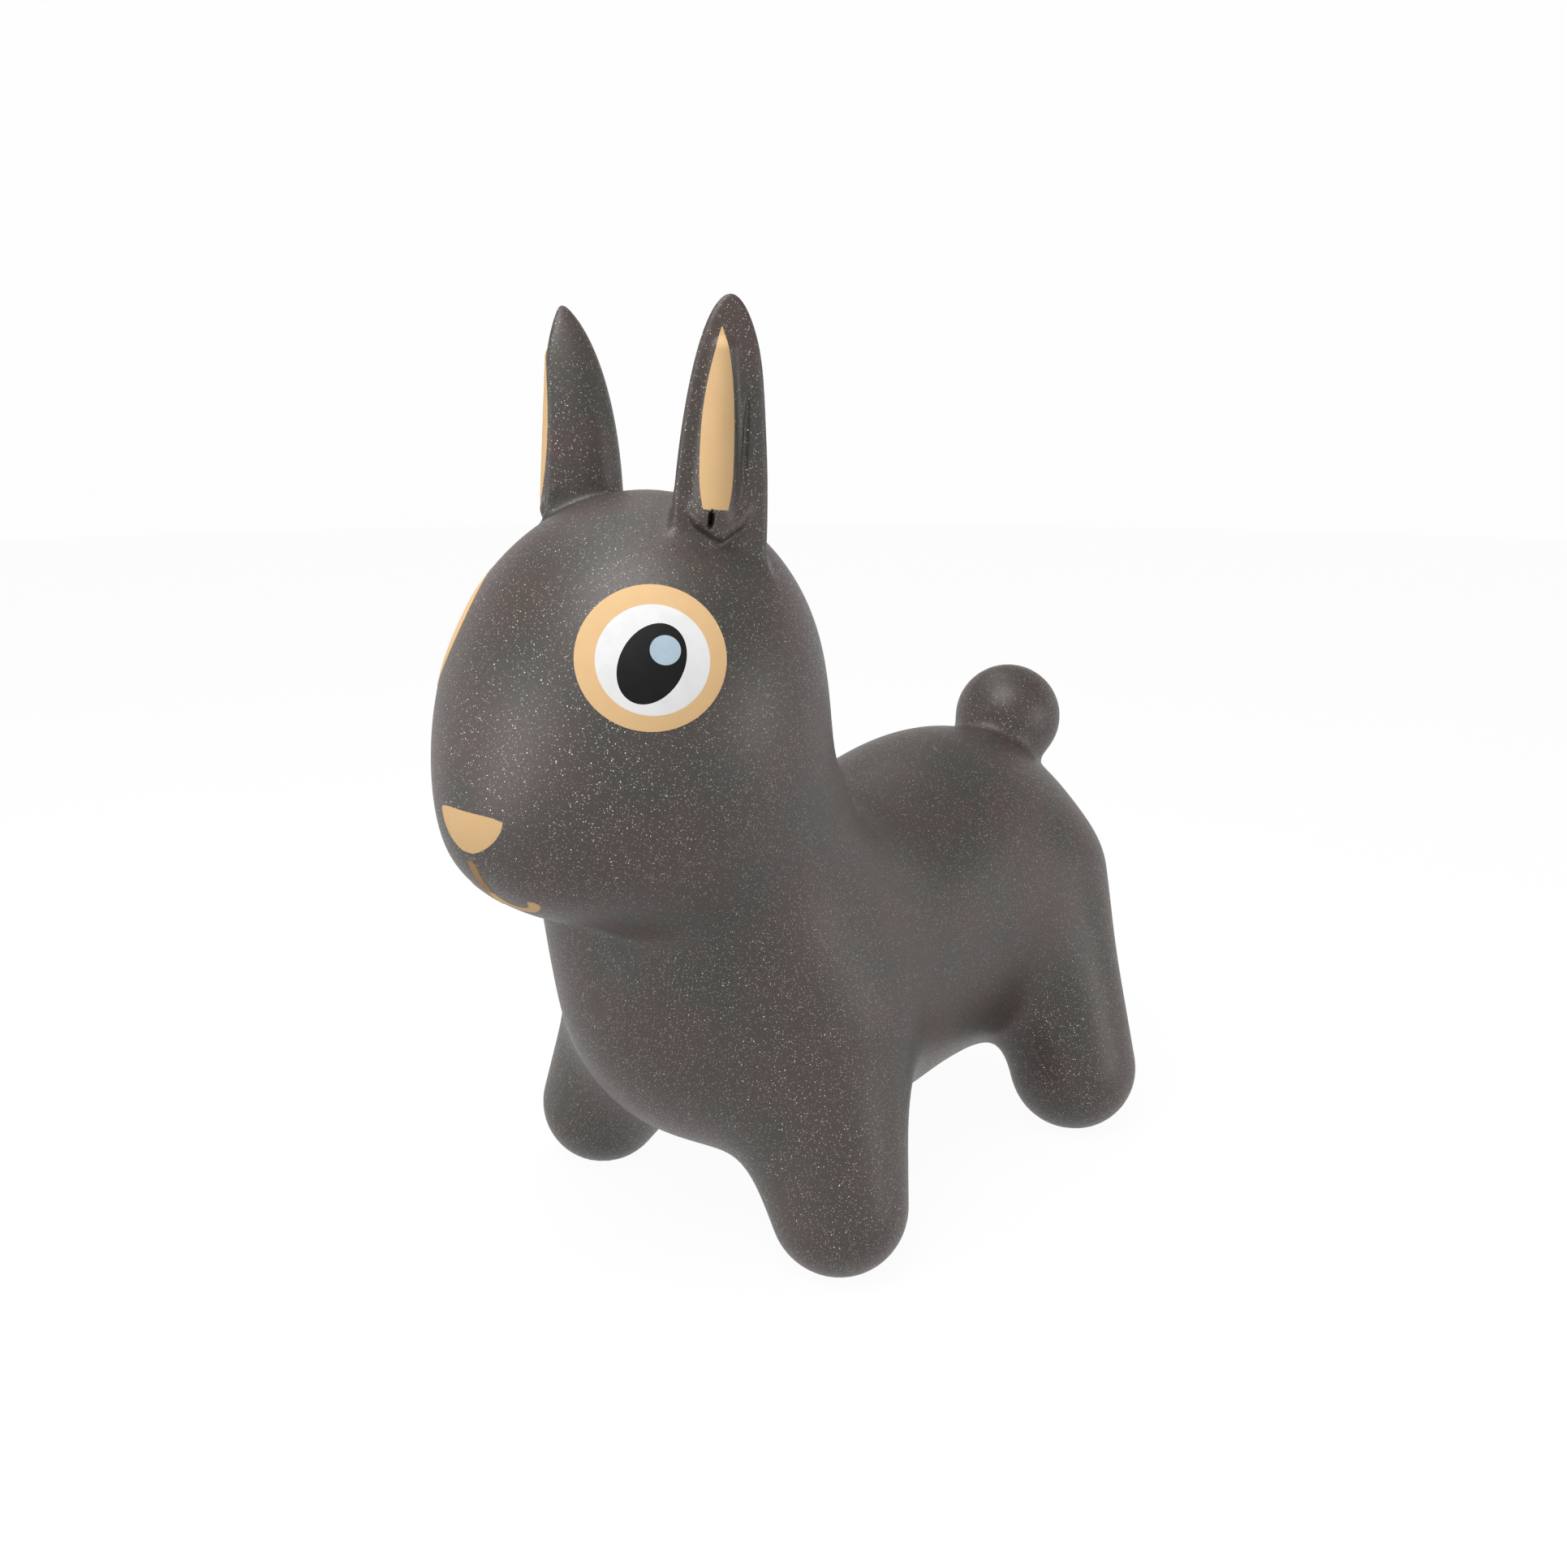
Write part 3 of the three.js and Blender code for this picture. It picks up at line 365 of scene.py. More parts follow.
# %% Glitter PVC
# The casting gives the eye a satin skin, slow clouds where the pigment swirls, foil dust lying at all angles that
# flashes where it faces a lamp, and tinted flecks that lie a little denser in drifts. The real foil is finer: the
# flecks are as coarse as they need to be to show.
DUST_MM, DUST_RADIUS_MM, DUST_TILT = 0.9, 0.33, 1.3
FLECK_MM, FLECK_RADIUS_MM = 1.4, 0.35
DRIFT_MM, DRIFT_FROM, DRIFT_TO, DRIFT_LEAST = 14, 0.4, 0.6, 0.85
CLOUD_MM = 45
GRAIN_MM, GRAIN_DEPTH_MM = 1.3, 0.06
SATIN_LOW, SATIN_HIGH, FOIL_ROUGHNESS = 0.40, 0.54, 0.34
TAUPES = ((0.36, "#393631"), (0.64, "#463835"))
DUST_TINT = "#979188"
FLECK_TINTS = ((0.0, "#B3AEA6"), (0.4, "#B3AEA6"), (0.6, "#B39E73"), (0.8, "#93AB97"), (1.0, "#BA9892"))
PVC_IOR, PVC_GLOSS = 1.53, 0.57


def foil_layer(tree, mm, spacing, radius, amount):
    """A mask of round flecks, one in each cell of a random net: sizes from none to radius times amount."""
    seeds = add_node(tree, "TexVoronoi", Vector=mm, Scale=1 / spacing)
    chance = add_node(tree, "SeparateColor", Color=seeds.outputs["Color"])
    size = add_node(tree, "Math", {"operation": "MULTIPLY"}, _0=chance.outputs["Green"], _1=amount)
    reach = add_node(tree, "Math", {"operation": "MULTIPLY"}, _0=size.outputs[0], _1=radius / spacing)
    far = seeds.outputs["Distance"]
    mask = add_node(tree, "Math", {"operation": "LESS_THAN"}, _0=far, _1=reach.outputs[0])
    return mask.outputs[0], seeds.outputs["Color"], chance.outputs["Red"]


def tilted(tree, angles):
    """Unit normals that lean off the skin: its own normal plus a random step of up to half the tilt each way."""
    spread, back = (DUST_TILT,) * 3, (-DUST_TILT / 2,) * 3
    tilt = add_node(tree, "VectorMath", {"operation": "MULTIPLY_ADD"}, _0=angles, _1=spread, _2=back)
    outward = add_node(tree, "NewGeometry").outputs["Normal"]
    leaning = add_node(tree, "VectorMath", {"operation": "ADD"}, _0=tilt.outputs[0], _1=outward)
    return add_node(tree, "VectorMath", {"operation": "NORMALIZE"}, _0=leaning.outputs[0]).outputs[0]


def glitter_pvc():
    """Pigment clouds between two taupes, foil dust at random tilts, drifts of flecks, and a fine moulded grain."""
    material, tree, shader = start_material("glitter_pvc")
    mm = millimetres(tree)
    cloud = add_node(tree, "TexNoise", Vector=mm, Scale=1 / CLOUD_MM, Detail=3.0, Roughness=0.55)
    taupe = add_node(tree, "ValToRGB", Fac=cloud.outputs["Fac"])
    set_ramp(taupe.color_ramp, TAUPES)
    drift = add_node(tree, "TexNoise", Vector=mm, Scale=1 / DRIFT_MM, Detail=2.0)
    gathered = add_node(
        tree, "MapRange", Value=drift.outputs["Fac"], _1=DRIFT_FROM, _2=DRIFT_TO, _3=DRIFT_LEAST, _4=1.0)
    dust, angles, _ = foil_layer(tree, mm, DUST_MM, DUST_RADIUS_MM, 1.0)
    flecks, _, hue = foil_layer(tree, mm, FLECK_MM, FLECK_RADIUS_MM, gathered.outputs["Result"])
    foil = add_node(tree, "ValToRGB", Fac=hue)
    set_ramp(foil.color_ramp, FLECK_TINTS)
    blend = {"data_type": "RGBA"}
    dusted = add_node(tree, "Mix", blend, _0=dust, _6=taupe.outputs["Color"], _7=linear(DUST_TINT))
    colour = add_node(tree, "Mix", blend, _0=flecks, _6=dusted.outputs[2], _7=foil.outputs["Color"])
    tree.links.new(colour.outputs[2], shader.inputs["Base Color"])
    tree.links.new(dust, shader.inputs["Metallic"])
    grain = add_node(tree, "TexNoise", Vector=mm, Scale=1 / GRAIN_MM, Detail=2.0).outputs["Fac"]
    satin = add_node(tree, "MapRange", Value=grain, _3=SATIN_LOW, _4=SATIN_HIGH)
    sparkle = add_node(tree, "Math", {"operation": "MAXIMUM"}, _0=dust, _1=flecks)
    rough = add_node(tree, "Mix", _0=sparkle.outputs[0], _2=satin.outputs["Result"], _3=FOIL_ROUGHNESS)
    tree.links.new(rough.outputs[0], shader.inputs["Roughness"])
    bump = add_node(tree, "Bump", Strength=0.25, Distance=GRAIN_DEPTH_MM / 1000, Height=grain).outputs["Normal"]
    normal = add_node(tree, "Mix", {"data_type": "VECTOR"}, _0=dust, _4=bump, _5=tilted(tree, angles))
    tree.links.new(normal.outputs[1], shader.inputs["Normal"])
    shader.inputs["IOR"].default_value = PVC_IOR
    shader.inputs["Specular IOR Level"].default_value = PVC_GLOSS
    return material


SKIN = glitter_pvc()
print(SKIN.name, "has", len(SKIN.node_tree.nodes), "nodes")

# %% [markdown]
# ## Printed inks
# Eyes, nose, mouth and inner ears are PVC inks laid on through masks, which soak into the skin and cure dull. One
# function makes all four, because only the colours and a little of the gloss differ.

# %% Printed inks
# A masked coat gives the eye flat colour, with a trace of unevenness where it is thicker and less gloss than the skin.
INK_CLOUD_MM = 9
INK_GRAIN_MM, INK_GRAIN_DEPTH_MM, INK_ROUGHNESS_SPREAD = 0.8, 0.04, 0.06
INK_GLOSS = 0.16


def ink(name, thin, thick, roughness):
    """Colour between a thin and a thick coat by soft noise, with a fine grain that roughens it."""
    material, tree, shader = start_material(name)
    mm = millimetres(tree)
    coat = add_node(tree, "TexNoise", Vector=mm, Scale=1 / INK_CLOUD_MM, Detail=2.0)
    colour = add_node(tree, "ValToRGB", Fac=coat.outputs["Fac"])
    set_ramp(colour.color_ramp, ((0.35, thin), (0.65, thick)))
    tree.links.new(colour.outputs["Color"], shader.inputs["Base Color"])
    grain = add_node(tree, "TexNoise", Vector=mm, Scale=1 / INK_GRAIN_MM, Detail=1.0).outputs["Fac"]
    least, most = roughness - INK_ROUGHNESS_SPREAD, roughness + INK_ROUGHNESS_SPREAD
    rough = add_node(tree, "MapRange", Value=grain, _3=least, _4=most)
    tree.links.new(rough.outputs["Result"], shader.inputs["Roughness"])
    bump = add_node(tree, "Bump", Strength=0.15, Distance=INK_GRAIN_DEPTH_MM / 1000, Height=grain)
    tree.links.new(bump.outputs["Normal"], shader.inputs["Normal"])
    shader.inputs["Specular IOR Level"].default_value = INK_GLOSS
    return material


TAN = ink("tan_ink", "#DEB887", "#E0BB8A", 0.6)
WHITE = ink("white_ink", "#E2E2E3", "#E8E8E9", 0.55)
BLACK = ink("black_ink", "#0F0F0F", "#141414", 0.5)
BLUE = ink("pale_blue_ink", "#A7BAC9", "#AFC1CF", 0.55)
print("materials", [m.name for m in bpy.data.materials])

# %% [markdown]
# ## The skin
# Torso, head, legs and tail are one skin on the real toy, so they are one mesh here and replace seven CAD shells. The
# valve sits in a round hole in the belly. Cutting it with a boolean would spoil the even net, so the faces there are
# left out and the hole's edge is drawn to a circle, just inside the valve's ring.

# %% Make the skin
SKIN_CELL = 4.0
SKIN_LOW, SKIN_HIGH = (-148, -262, -8), (148, 262, 434)
VALVE_Y = 79
COLLAR_RADIUS, COLLAR_LAP = 11, 0.6
BELLY_BELOW = 60


def with_hole(points, faces, centre, radius):
    """Drops the faces near a vertical axis under the belly and moves the edge that remains out to a circle."""
    flat = points[:, :2] - np.array(centre)
    near = (np.linalg.norm(flat, axis=1) < radius) & (points[:, 2] < BELLY_BELOW)
    gone = near[faces].any(1)
    edge = np.intersect1d(faces[gone], faces[~gone])
    points = points.copy()
    points[edge, :2] = centre + flat[edge] * (radius / np.linalg.norm(flat[edge], axis=1))[:, None]
    return points, faces[~gone]


skin_points, skin_faces = surface_net(body_field, SKIN_LOW, SKIN_HIGH, SKIN_CELL)
valve_axis = np.array([0, VALVE_Y])
skin_points, skin_faces = only_used(*with_hole(skin_points, skin_faces, valve_axis, COLLAR_RADIUS - COLLAR_LAP))
skin = add_mesh("bunny_skin", skin_points, skin_faces, SKIN, normals_of(body_field, skin_points))
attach(skin, "hopper")
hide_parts("torso", "head", "front_left_leg", "front_right_leg", "hind_left_leg", "hind_right_leg", "tail")

# %% [markdown]
# ## The ear's form
# Each ear is a grip: half an egg with a bowed inner face, moulded with a ridge that carries the print, a groove beside
# it, and a lip with a small pit at its foot. It grows out of the head through a soft fillet. Its sizes are measured
# along three axes of its own, across, facing and along, so that the whole ear can turn and lean as one.

# %% Ear frame
EAR_X, EAR_Y, EAR_FOOT_Z, ABOVE_EAR = 48.5, -128, 391, 520.0
EAR_TURN, EAR_LEAN = math.radians(57.3), math.radians(4.4)

ear_seat = land(body_field, np.array([EAR_X, EAR_Y, ABOVE_EAR]), np.array([0, 0, -1.0]))
ear_base = np.array([EAR_X, EAR_Y, EAR_FOOT_Z])
ear_along = np.array([0, math.sin(EAR_LEAN), math.cos(EAR_LEAN)])
ear_facing = np.array([math.sin(EAR_TURN), -math.cos(EAR_TURN), 0])
ear_facing -= ear_along * (ear_facing @ ear_along)
ear_facing /= np.linalg.norm(ear_facing)
ear_across = np.cross(ear_along, ear_facing)
ear_axes = np.stack([ear_across, ear_facing, ear_along], -1)
seat_normal = normals_of(body_field, ear_seat)
print("ear seat", ear_seat.round(1), "head's normal there", seat_normal.round(3))

# %% Ear field
EAR_HEIGHT, EAR_HALF_WIDTH, EAR_DEPTH, EAR_BACK = 129.2, 25.4, 42, 50
EAR_EDGE, EAR_BLEND = 7, 9
EAR_FACE, CREST, CREST_HEIGHT, CREST_REACH = 16.5, 3.3, 99, 24
RIDGE = dict(hip=(-3.5, 10.8, 22), hip_radius=13, foot=(-3.5, 16.1, 97), foot_radius=7)
LIP_LOW, LIP_BEHIND, LIP_FRONT = (-1.6, 19, 12), (-11, 18, 18), (7, 17, 18)
LIP = (
    ((-19, 12, 28), LIP_BEHIND, 3.8),
    (LIP_BEHIND, LIP_LOW, 3.8),
    ((14, 12, 28), LIP_FRONT, 4.2),
    (LIP_FRONT, LIP_LOW, 4.0),
)
RIDGE_BLEND = 4
GROOVE, GROOVE_EDGE = dict(centre=(10.2, 17.5, 52), radii=(1.5, 2.6, 24)), 2.5
PIT, PIT_EDGE = dict(centre=(-6.4, 24, 18), radii=(1.6, 9, 4.6)), 1.5


def rod(p, start, end, radius):
    """The distance from a round rod: from the nearest point of its middle line, less its radius."""
    axis = np.subtract(end, start)
    part = np.clip((p - np.array(start)) @ axis / (axis @ axis), 0, 1)
    return np.linalg.norm(p - np.array(start) - part[..., None] * axis, axis=-1) - radius


def ear_field(p):
    """Half an egg cut by a face with a bell-shaped crest, plus ridge and lip, less a groove and a pit."""
    q = (p - ear_base) @ ear_axes
    half = egg(q, (0, EAR_BACK - EAR_DEPTH / 2, 0), (EAR_HALF_WIDTH, EAR_BACK, EAR_HEIGHT))
    face = EAR_FACE + CREST * np.exp(-(((q[..., 2] - CREST_HEIGHT) / CREST_REACH) ** 2))
    ear = smooth_max(half, q[..., 1] - face, EAR_EDGE)
    lip = np.minimum.reduce([rod(q, *part) for part in LIP])
    ear = smooth_min(smooth_min(ear, limb(q, **RIDGE), RIDGE_BLEND), lip, RIDGE_BLEND)
    ear = smooth_max(ear, -egg(q, **GROOVE), GROOVE_EDGE)
    return smooth_max(ear, -egg(q, **PIT), PIT_EDGE)


def eared_field(p):
    """Head and ear melted together by a fillet."""
    return smooth_min(body_field(p), ear_field(p), EAR_BLEND)


print("the field in the middle of the ear is", ear_field(ear_base + 60 * ear_along).round(1))

# %% [markdown]
# ## The ears
# A real ear has no hinge: the soft skin bends at its root. The ear is its own mesh, with a finer net for its small
# forms. The right ear is the left one mirrored, with its faces turned over so that they still look outwards.

# %% Make the ears
EAR_CELL = 1.6
EAR_LOW, EAR_HIGH = (-2, -190, 372), (112, -68, 522)
MIRROR = np.array([-1, 1, 1])

ear_points, ear_faces = surface_net(eared_field, EAR_LOW, EAR_HIGH, EAR_CELL)
grown = ear_field(ear_points) - body_field(ear_points) < EAR_BLEND
ear_points, ear_faces = only_used(ear_points, ear_faces[grown[ear_faces].any(1)])
ear_normals = normals_of(eared_field, ear_points)


def sided(name, side, points, faces, normals, material):
    """A left-hand piece as it is, or mirrored in X with its faces turned over for the right."""
    flip = MIRROR if side == "right" else 1
    turned_over = faces[:, ::-1] if side == "right" else faces
    return add_mesh(f"{name}_{side}", points * flip, turned_over, material, normals * flip)


def bend_with_ear(piece):
    """Bakes the piece's transform into its points: it stays where it is made and rides on no body."""
    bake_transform(piece)


for side in ("left", "right"):
    ear = sided("ear", side, ear_points, ear_faces, ear_normals, SKIN)
    bend_with_ear(ear)
    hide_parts(f"{side}_ear")

# %% [markdown]
# ## Films of ink
# A print on the toy is a film that follows the skin. Painting it as a colour in the skin's material would blur its
# edge, so each film is a grid of two parameters, drawn on a flat sheet in front of the skin and walked back onto it.
# It is lifted by the thickness of the ink, and its edge is sunk just under the skin.

# %% Film helpers
INK_LIFT, INK_SUNK = 0.3, -0.25


def lifted(field, start, direction, height):
    """Lands points on the skin along a direction and raises each by its height along the skin's normal."""
    spot = land(field, start, direction)
    normal = normals_of(field, spot)
    return spot + normal * height[..., None], normal


def grid_faces(rows, columns, closed):
    """Faces of a grid of points, row by row, joined at the ends of the rows if closed."""
    i, j = np.meshgrid(np.arange(rows - 1), np.arange(columns if closed else columns - 1), indexing="ij")
    k = (j + 1) % columns
    ring = [i * columns + j, i * columns + k, (i + 1) * columns + k, (i + 1) * columns + j]
    return np.stack(ring, -1).reshape(-1, 4)


def outward_faces(points, faces, normals):
    """Turns the faces over if their own normals point against the skin's."""
    a, b, c = (points[faces[:, k]] for k in (0, 1, 2))
    same = np.sum(np.cross(b - a, c - a) * normals[faces[:, 0]]) > 0
    return faces if same else faces[:, ::-1]


def film(grid, normal, closed=False):
    """Points, outward faces and normals of a landed grid of rows and columns."""
    points, normals = grid.reshape(-1, 3), normal.reshape(-1, 3)
    faces = grid_faces(*grid.shape[:2], closed)
    return points, outward_faces(points, faces, normals), normals


def sunk_edges(rows, columns):
    """Heights of a film's grid: the ink's lift all over, and sunk along its four edges."""
    height = np.full((rows, columns), INK_LIFT)
    height[[0, -1]] = INK_SUNK
    height[:, [0, -1]] = INK_SUNK
    return height


print("a film of 4 by 5 points has", len(grid_faces(4, 5, False)), "faces")

# %% [markdown]
# ## The eyes
# Each eye is four inks laid side by side: a tan ring, a white, a tilted black pupil and a pale blue glint. Stacked
# discs would flicker where they touch, so each ink is a ring whose hole is the next oval, and only the glint is whole.

# %% Eye frame and ovals
EYE_X, EYE_Z, IN_FRONT, EYE_SHEET = 74.8, 350.5, -320.0, 40
EDGE_MM, EYE_ROWS, EYE_SIDES = 0.25, 14, 96
ANGLES = np.linspace(0, 2 * np.pi, EYE_SIDES, endpoint=False)
RING = dict(half_width=35.4, half_height=35.4, side=-0.8, up=1.7)
EYE_WHITE = dict(half_width=26.6, half_height=26.6, side=0.0, up=0.0)
PUPIL = dict(half_width=14.9, half_height=20.3, side=-0.5, up=-2.2, tilt=math.radians(29))
GLINT = dict(half_width=7.2, half_height=7.2, side=5.9, up=3.8)

eye = land(body_field, np.array([EYE_X, IN_FRONT, EYE_Z]), np.array([0, 1.0, 0]))
eye_out = normals_of(body_field, eye)
eye_side = np.cross([0, 0, 1], eye_out)
eye_side /= np.linalg.norm(eye_side)
eye_up = np.cross(eye_out, eye_side)
print("eye at", eye.round(1), "looking along", eye_out.round(2))


def oval(half_width, half_height, side, up, tilt=0.0, grow=0.0):
    """Points round an oval on the eye's sheet, evenly in angle, its long axis turned from up towards the side."""
    across = (half_width + grow) * np.cos(ANGLES + tilt)
    tall = (half_height + grow) * np.sin(ANGLES + tilt)
    return np.stack([across * math.cos(tilt) + tall * math.sin(tilt) + side,
                     tall * math.cos(tilt) - across * math.sin(tilt) + up], -1)


def eye_film(inner, outer):
    """Rows run from the inner oval, or from its middle point, to the outer oval; both edges are sunk."""
    share = np.linspace(0, 1, EYE_ROWS)
    start = oval(**inner) if inner else np.tile([outer["side"], outer["up"]], (len(ANGLES), 1))
    body = start + share[:, None, None] * (oval(**outer) - start)
    rows = [body, oval(**outer, grow=EDGE_MM)[None]]
    height = [np.full(body.shape[:2], INK_LIFT), np.full((1, len(ANGLES)), INK_SUNK)]
    if inner:
        rows.insert(0, oval(**inner, grow=-EDGE_MM)[None])
        height.insert(0, np.full((1, len(ANGLES)), INK_SUNK))
    drawn = np.concatenate(rows)
    sheet = eye + EYE_SHEET * eye_out + drawn[..., :1] * eye_side + drawn[..., 1:] * eye_up
    return film(*lifted(body_field, sheet, -eye_out, np.concatenate(height)), closed=True)


# %% Make the eyes
EYE_LAYERS = (
    ("eye_ring", EYE_WHITE, RING, TAN, "tan_print"),
    ("eye_white", PUPIL, EYE_WHITE, WHITE, "white_print"),
    ("pupil", GLINT, PUPIL, BLACK, "black_print"),
    ("eye_glint", None, GLINT, BLUE, "blue_print"),
)
for name, inner, outer, material, slot in EYE_LAYERS:
    points, faces, normals = eye_film(inner, outer)
    for side in ("left", "right"):
        piece = sided(name, side, points, faces, normals, material)
        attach(piece, "hopper")
        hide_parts(f"{side}_{name}")

# %% [markdown]
# ## The nose
# The nose is a tan shield, flat on top and rounded to a point below. Its half width is a power curve of how far it has
# fallen, which gives full sides and a soft tip with two numbers, where a traced outline would need dozens.

# %% Nose
NOSE_ROWS, NOSE_COLUMNS, NOSE_END = 22, 41, 0.995
NOSE_HALF_WIDTH, NOSE_TOP_Z, NOSE_HEIGHT = 24.6, 275.2, 21.6
NOSE_FULLNESS, NOSE_POINT, NOSE_DROOP = 1.85, 0.68, 2.0
NOSE_SHEET = -300.0

fall = np.linspace(0, NOSE_END, NOSE_ROWS)[:, None]
span = np.linspace(-1, 1, NOSE_COLUMNS)[None]
half = NOSE_HALF_WIDTH * (1 - fall**NOSE_FULLNESS) ** NOSE_POINT
z = NOSE_TOP_Z - NOSE_HEIGHT * fall - NOSE_DROOP * span**4 * (1 - fall)
sheet = np.stack([span * half, np.full(z.shape, NOSE_SHEET), z], -1)
points, faces, normals = film(*lifted(
    body_field, sheet, np.array([0, 1.0, 0]), sunk_edges(NOSE_ROWS, NOSE_COLUMNS)))
nose = add_mesh("nose", points, faces, TAN, normals)
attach(nose, "hopper")
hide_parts("nose_print")

# %% [markdown]
# ## The mouth
# The mouth is one sprayed line: a stem under the nose that parts into two hooks. Each half is a strip carried along
# its path, as wide as the line, that swells to a round end. The muzzle curves away under it, so the strip is landed
# along rays towards the middle of the muzzle and not straight back.

# %% Mouth
STEM_TOP, STEM_END, HOOK, SWEEP = -5.4, -25.3, 13.2, math.radians(168)
LINE_HALF, SWELL, SWELL_START, SWELL_RUN = 2.9, 0.9, 0.8, 0.12
END_ROUND, TOP_ROUND = 0.025, 0.03
LINE_STEPS = 90
ACROSS = np.array([-1, -0.85, -0.4, 0, 0.4, 0.85, 1])
MOUTH_SHEET = 190


def mouth_half(sign):
    """A stem, then an arc of a circle: a line of even width along it that swells to a round end."""
    stem = STEM_TOP - STEM_END
    run = np.linspace(0, stem + HOOK * SWEEP, LINE_STEPS)
    angle = np.pi + np.maximum(run - stem, 0) / HOOK
    x = HOOK * (1 + np.cos(angle))
    z = np.where(run < stem, STEM_TOP - run, STEM_END + HOOK * np.sin(angle))
    out = np.stack([-np.cos(angle), -np.sin(angle)], -1)
    share = run / run[-1]
    half = LINE_HALF + SWELL * np.clip((share - SWELL_START) / SWELL_RUN, 0, 1) ** 2
    half *= np.sqrt(np.clip((1 - share) / END_ROUND, 0, 1)) * np.sqrt(np.clip(share / TOP_ROUND, 0.0, 1))
    flat = np.stack([x, z], -1)[:, None] + ACROSS[None, :, None] * (half[:, None] * out)[:, None]
    ray = np.stack([sign * flat[..., 0], np.full(flat.shape[:2], -MUZZLE_RADII[1]), flat[..., 1]], -1)
    ray /= np.linalg.norm(ray, axis=-1, keepdims=True)
    return film(*lifted(body_field, MUZZLE + MOUTH_SHEET * ray, -ray, sunk_edges(*flat.shape[:2])))


halves = [mouth_half(sign) for sign in (1, -1)]
points = np.concatenate([h[0] for h in halves])
faces = np.concatenate([halves[0][1], halves[1][1] + len(halves[0][0])])
mouth = add_mesh("mouth", points, faces, TAN, np.concatenate([h[2] for h in halves]))
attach(mouth, "hopper")
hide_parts("mouth_print")

# %% [markdown]
# ## The inner ears
# A long tan leaf lies on each ear's ridge: widest low down, straight at its foot and pointed at the top. It is drawn
# in the ear's own frame, so that it turns and leans with the ear.

# %% Inner ears
LEAF_LOW, LEAF_WIDEST, LEAF_TOP, LEAF_REACH = 22.5, 45, 108.6, 64
LEAF_HALF_WIDTH, LEAF_FOOT_LOSS, LEAF_SHIFT = 8.5, 2.35, -4.5
LEAF_TOP_FULLNESS, LEAF_FOOT_FULLNESS = 2.5, 2.6
LEAF_ROWS, LEAF_COLUMNS, LEAF_SHEET = 80, 25, 45.0

along = np.linspace(LEAF_LOW, LEAF_TOP, LEAF_ROWS)[:, None]
span = np.linspace(-1, 1, LEAF_COLUMNS)[None]
rise = np.clip((along - LEAF_WIDEST) / LEAF_REACH, 0, 1)
sink = np.clip((LEAF_WIDEST - along) / (LEAF_WIDEST - LEAF_LOW), 0, 1)
half = np.where(along > LEAF_WIDEST, LEAF_HALF_WIDTH * (1 - rise**LEAF_TOP_FULLNESS),
                LEAF_HALF_WIDTH - LEAF_FOOT_LOSS * sink**LEAF_FOOT_FULLNESS)
across = LEAF_SHIFT + span * half
drawn = np.stack([across, np.full(across.shape, LEAF_SHEET), along * np.ones_like(span)], -1)
sheet = ear_base + drawn @ ear_axes.T
points, faces, normals = film(*lifted(eared_field, sheet, -ear_facing, sunk_edges(LEAF_ROWS, LEAF_COLUMNS)))
for side in ("left", "right"):
    piece = sided("ear_print", side, points, faces, normals, TAN)
    bend_with_ear(piece)
    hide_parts(f"{side}_ear_print")

# %% [markdown]
# ## The valve
# A thick ring is moulded into the belly, and a soft plug is pushed up into it. Both are turned shapes: a profile of
# radius and height, with its corners rounded, carried round the valve's axis. Boxes with bevels would show flats.

# %% Collar and plug
COLLAR_PROUD, VALVE_SIDES = 0.8, 64
CORNER, CORNER_POINTS, SIDE_SHARE = 0.6, 7, 2.2
BORE, SEAT_RADIUS, SEAT_DEPTH, COLLAR_HEIGHT = 4.5, 8.3, 2.5, 10
PLUG_HEAD, PLUG_HEAD_HEIGHT, PLUG_STEM, PLUG_TIP, PLUG_HEIGHT, PLUG_CORE = 8, 2.2, 4.2, 3.6, 15, 0.3
COLLAR = ((COLLAR_RADIUS, 0), (COLLAR_RADIUS, COLLAR_HEIGHT), (BORE, COLLAR_HEIGHT), (BORE, SEAT_DEPTH),
          (SEAT_RADIUS, SEAT_DEPTH), (SEAT_RADIUS, 0))
PLUG = ((PLUG_CORE, 0), (PLUG_HEAD, 0), (PLUG_HEAD, PLUG_HEAD_HEIGHT), (PLUG_STEM, PLUG_HEAD_HEIGHT),
        (PLUG_STEM, COLLAR_HEIGHT), (PLUG_TIP, PLUG_HEIGHT), (PLUG_CORE, PLUG_HEIGHT))

belly = land(body_field, np.array([0, VALVE_Y, 0.0]), np.array([0, 0, 1.0]))
collar_foot = belly[2] - COLLAR_PROUD
print("belly over the valve at z", belly[2].round(1))


def rounded(profile, radius):
    """Each corner becomes points on a quadratic curve that starts a radius, or a share of a short side, from it."""
    p = np.array(profile, float)
    before, after = np.roll(p, 1, axis=0) - p, np.roll(p, -1, axis=0) - p
    lengths = [np.linalg.norm(v, axis=1, keepdims=True) for v in (before, after)]
    first = p + before / lengths[0] * np.minimum(radius, lengths[0] / SIDE_SHARE)
    last = p + after / lengths[1] * np.minimum(radius, lengths[1] / SIDE_SHARE)
    t = np.linspace(0, 1, CORNER_POINTS)[None, :, None]
    arcs = (1 - t) ** 2 * first[:, None] + 2 * t * (1 - t) * p[:, None] + t**2 * last[:, None]
    return arcs.reshape(-1, 2)


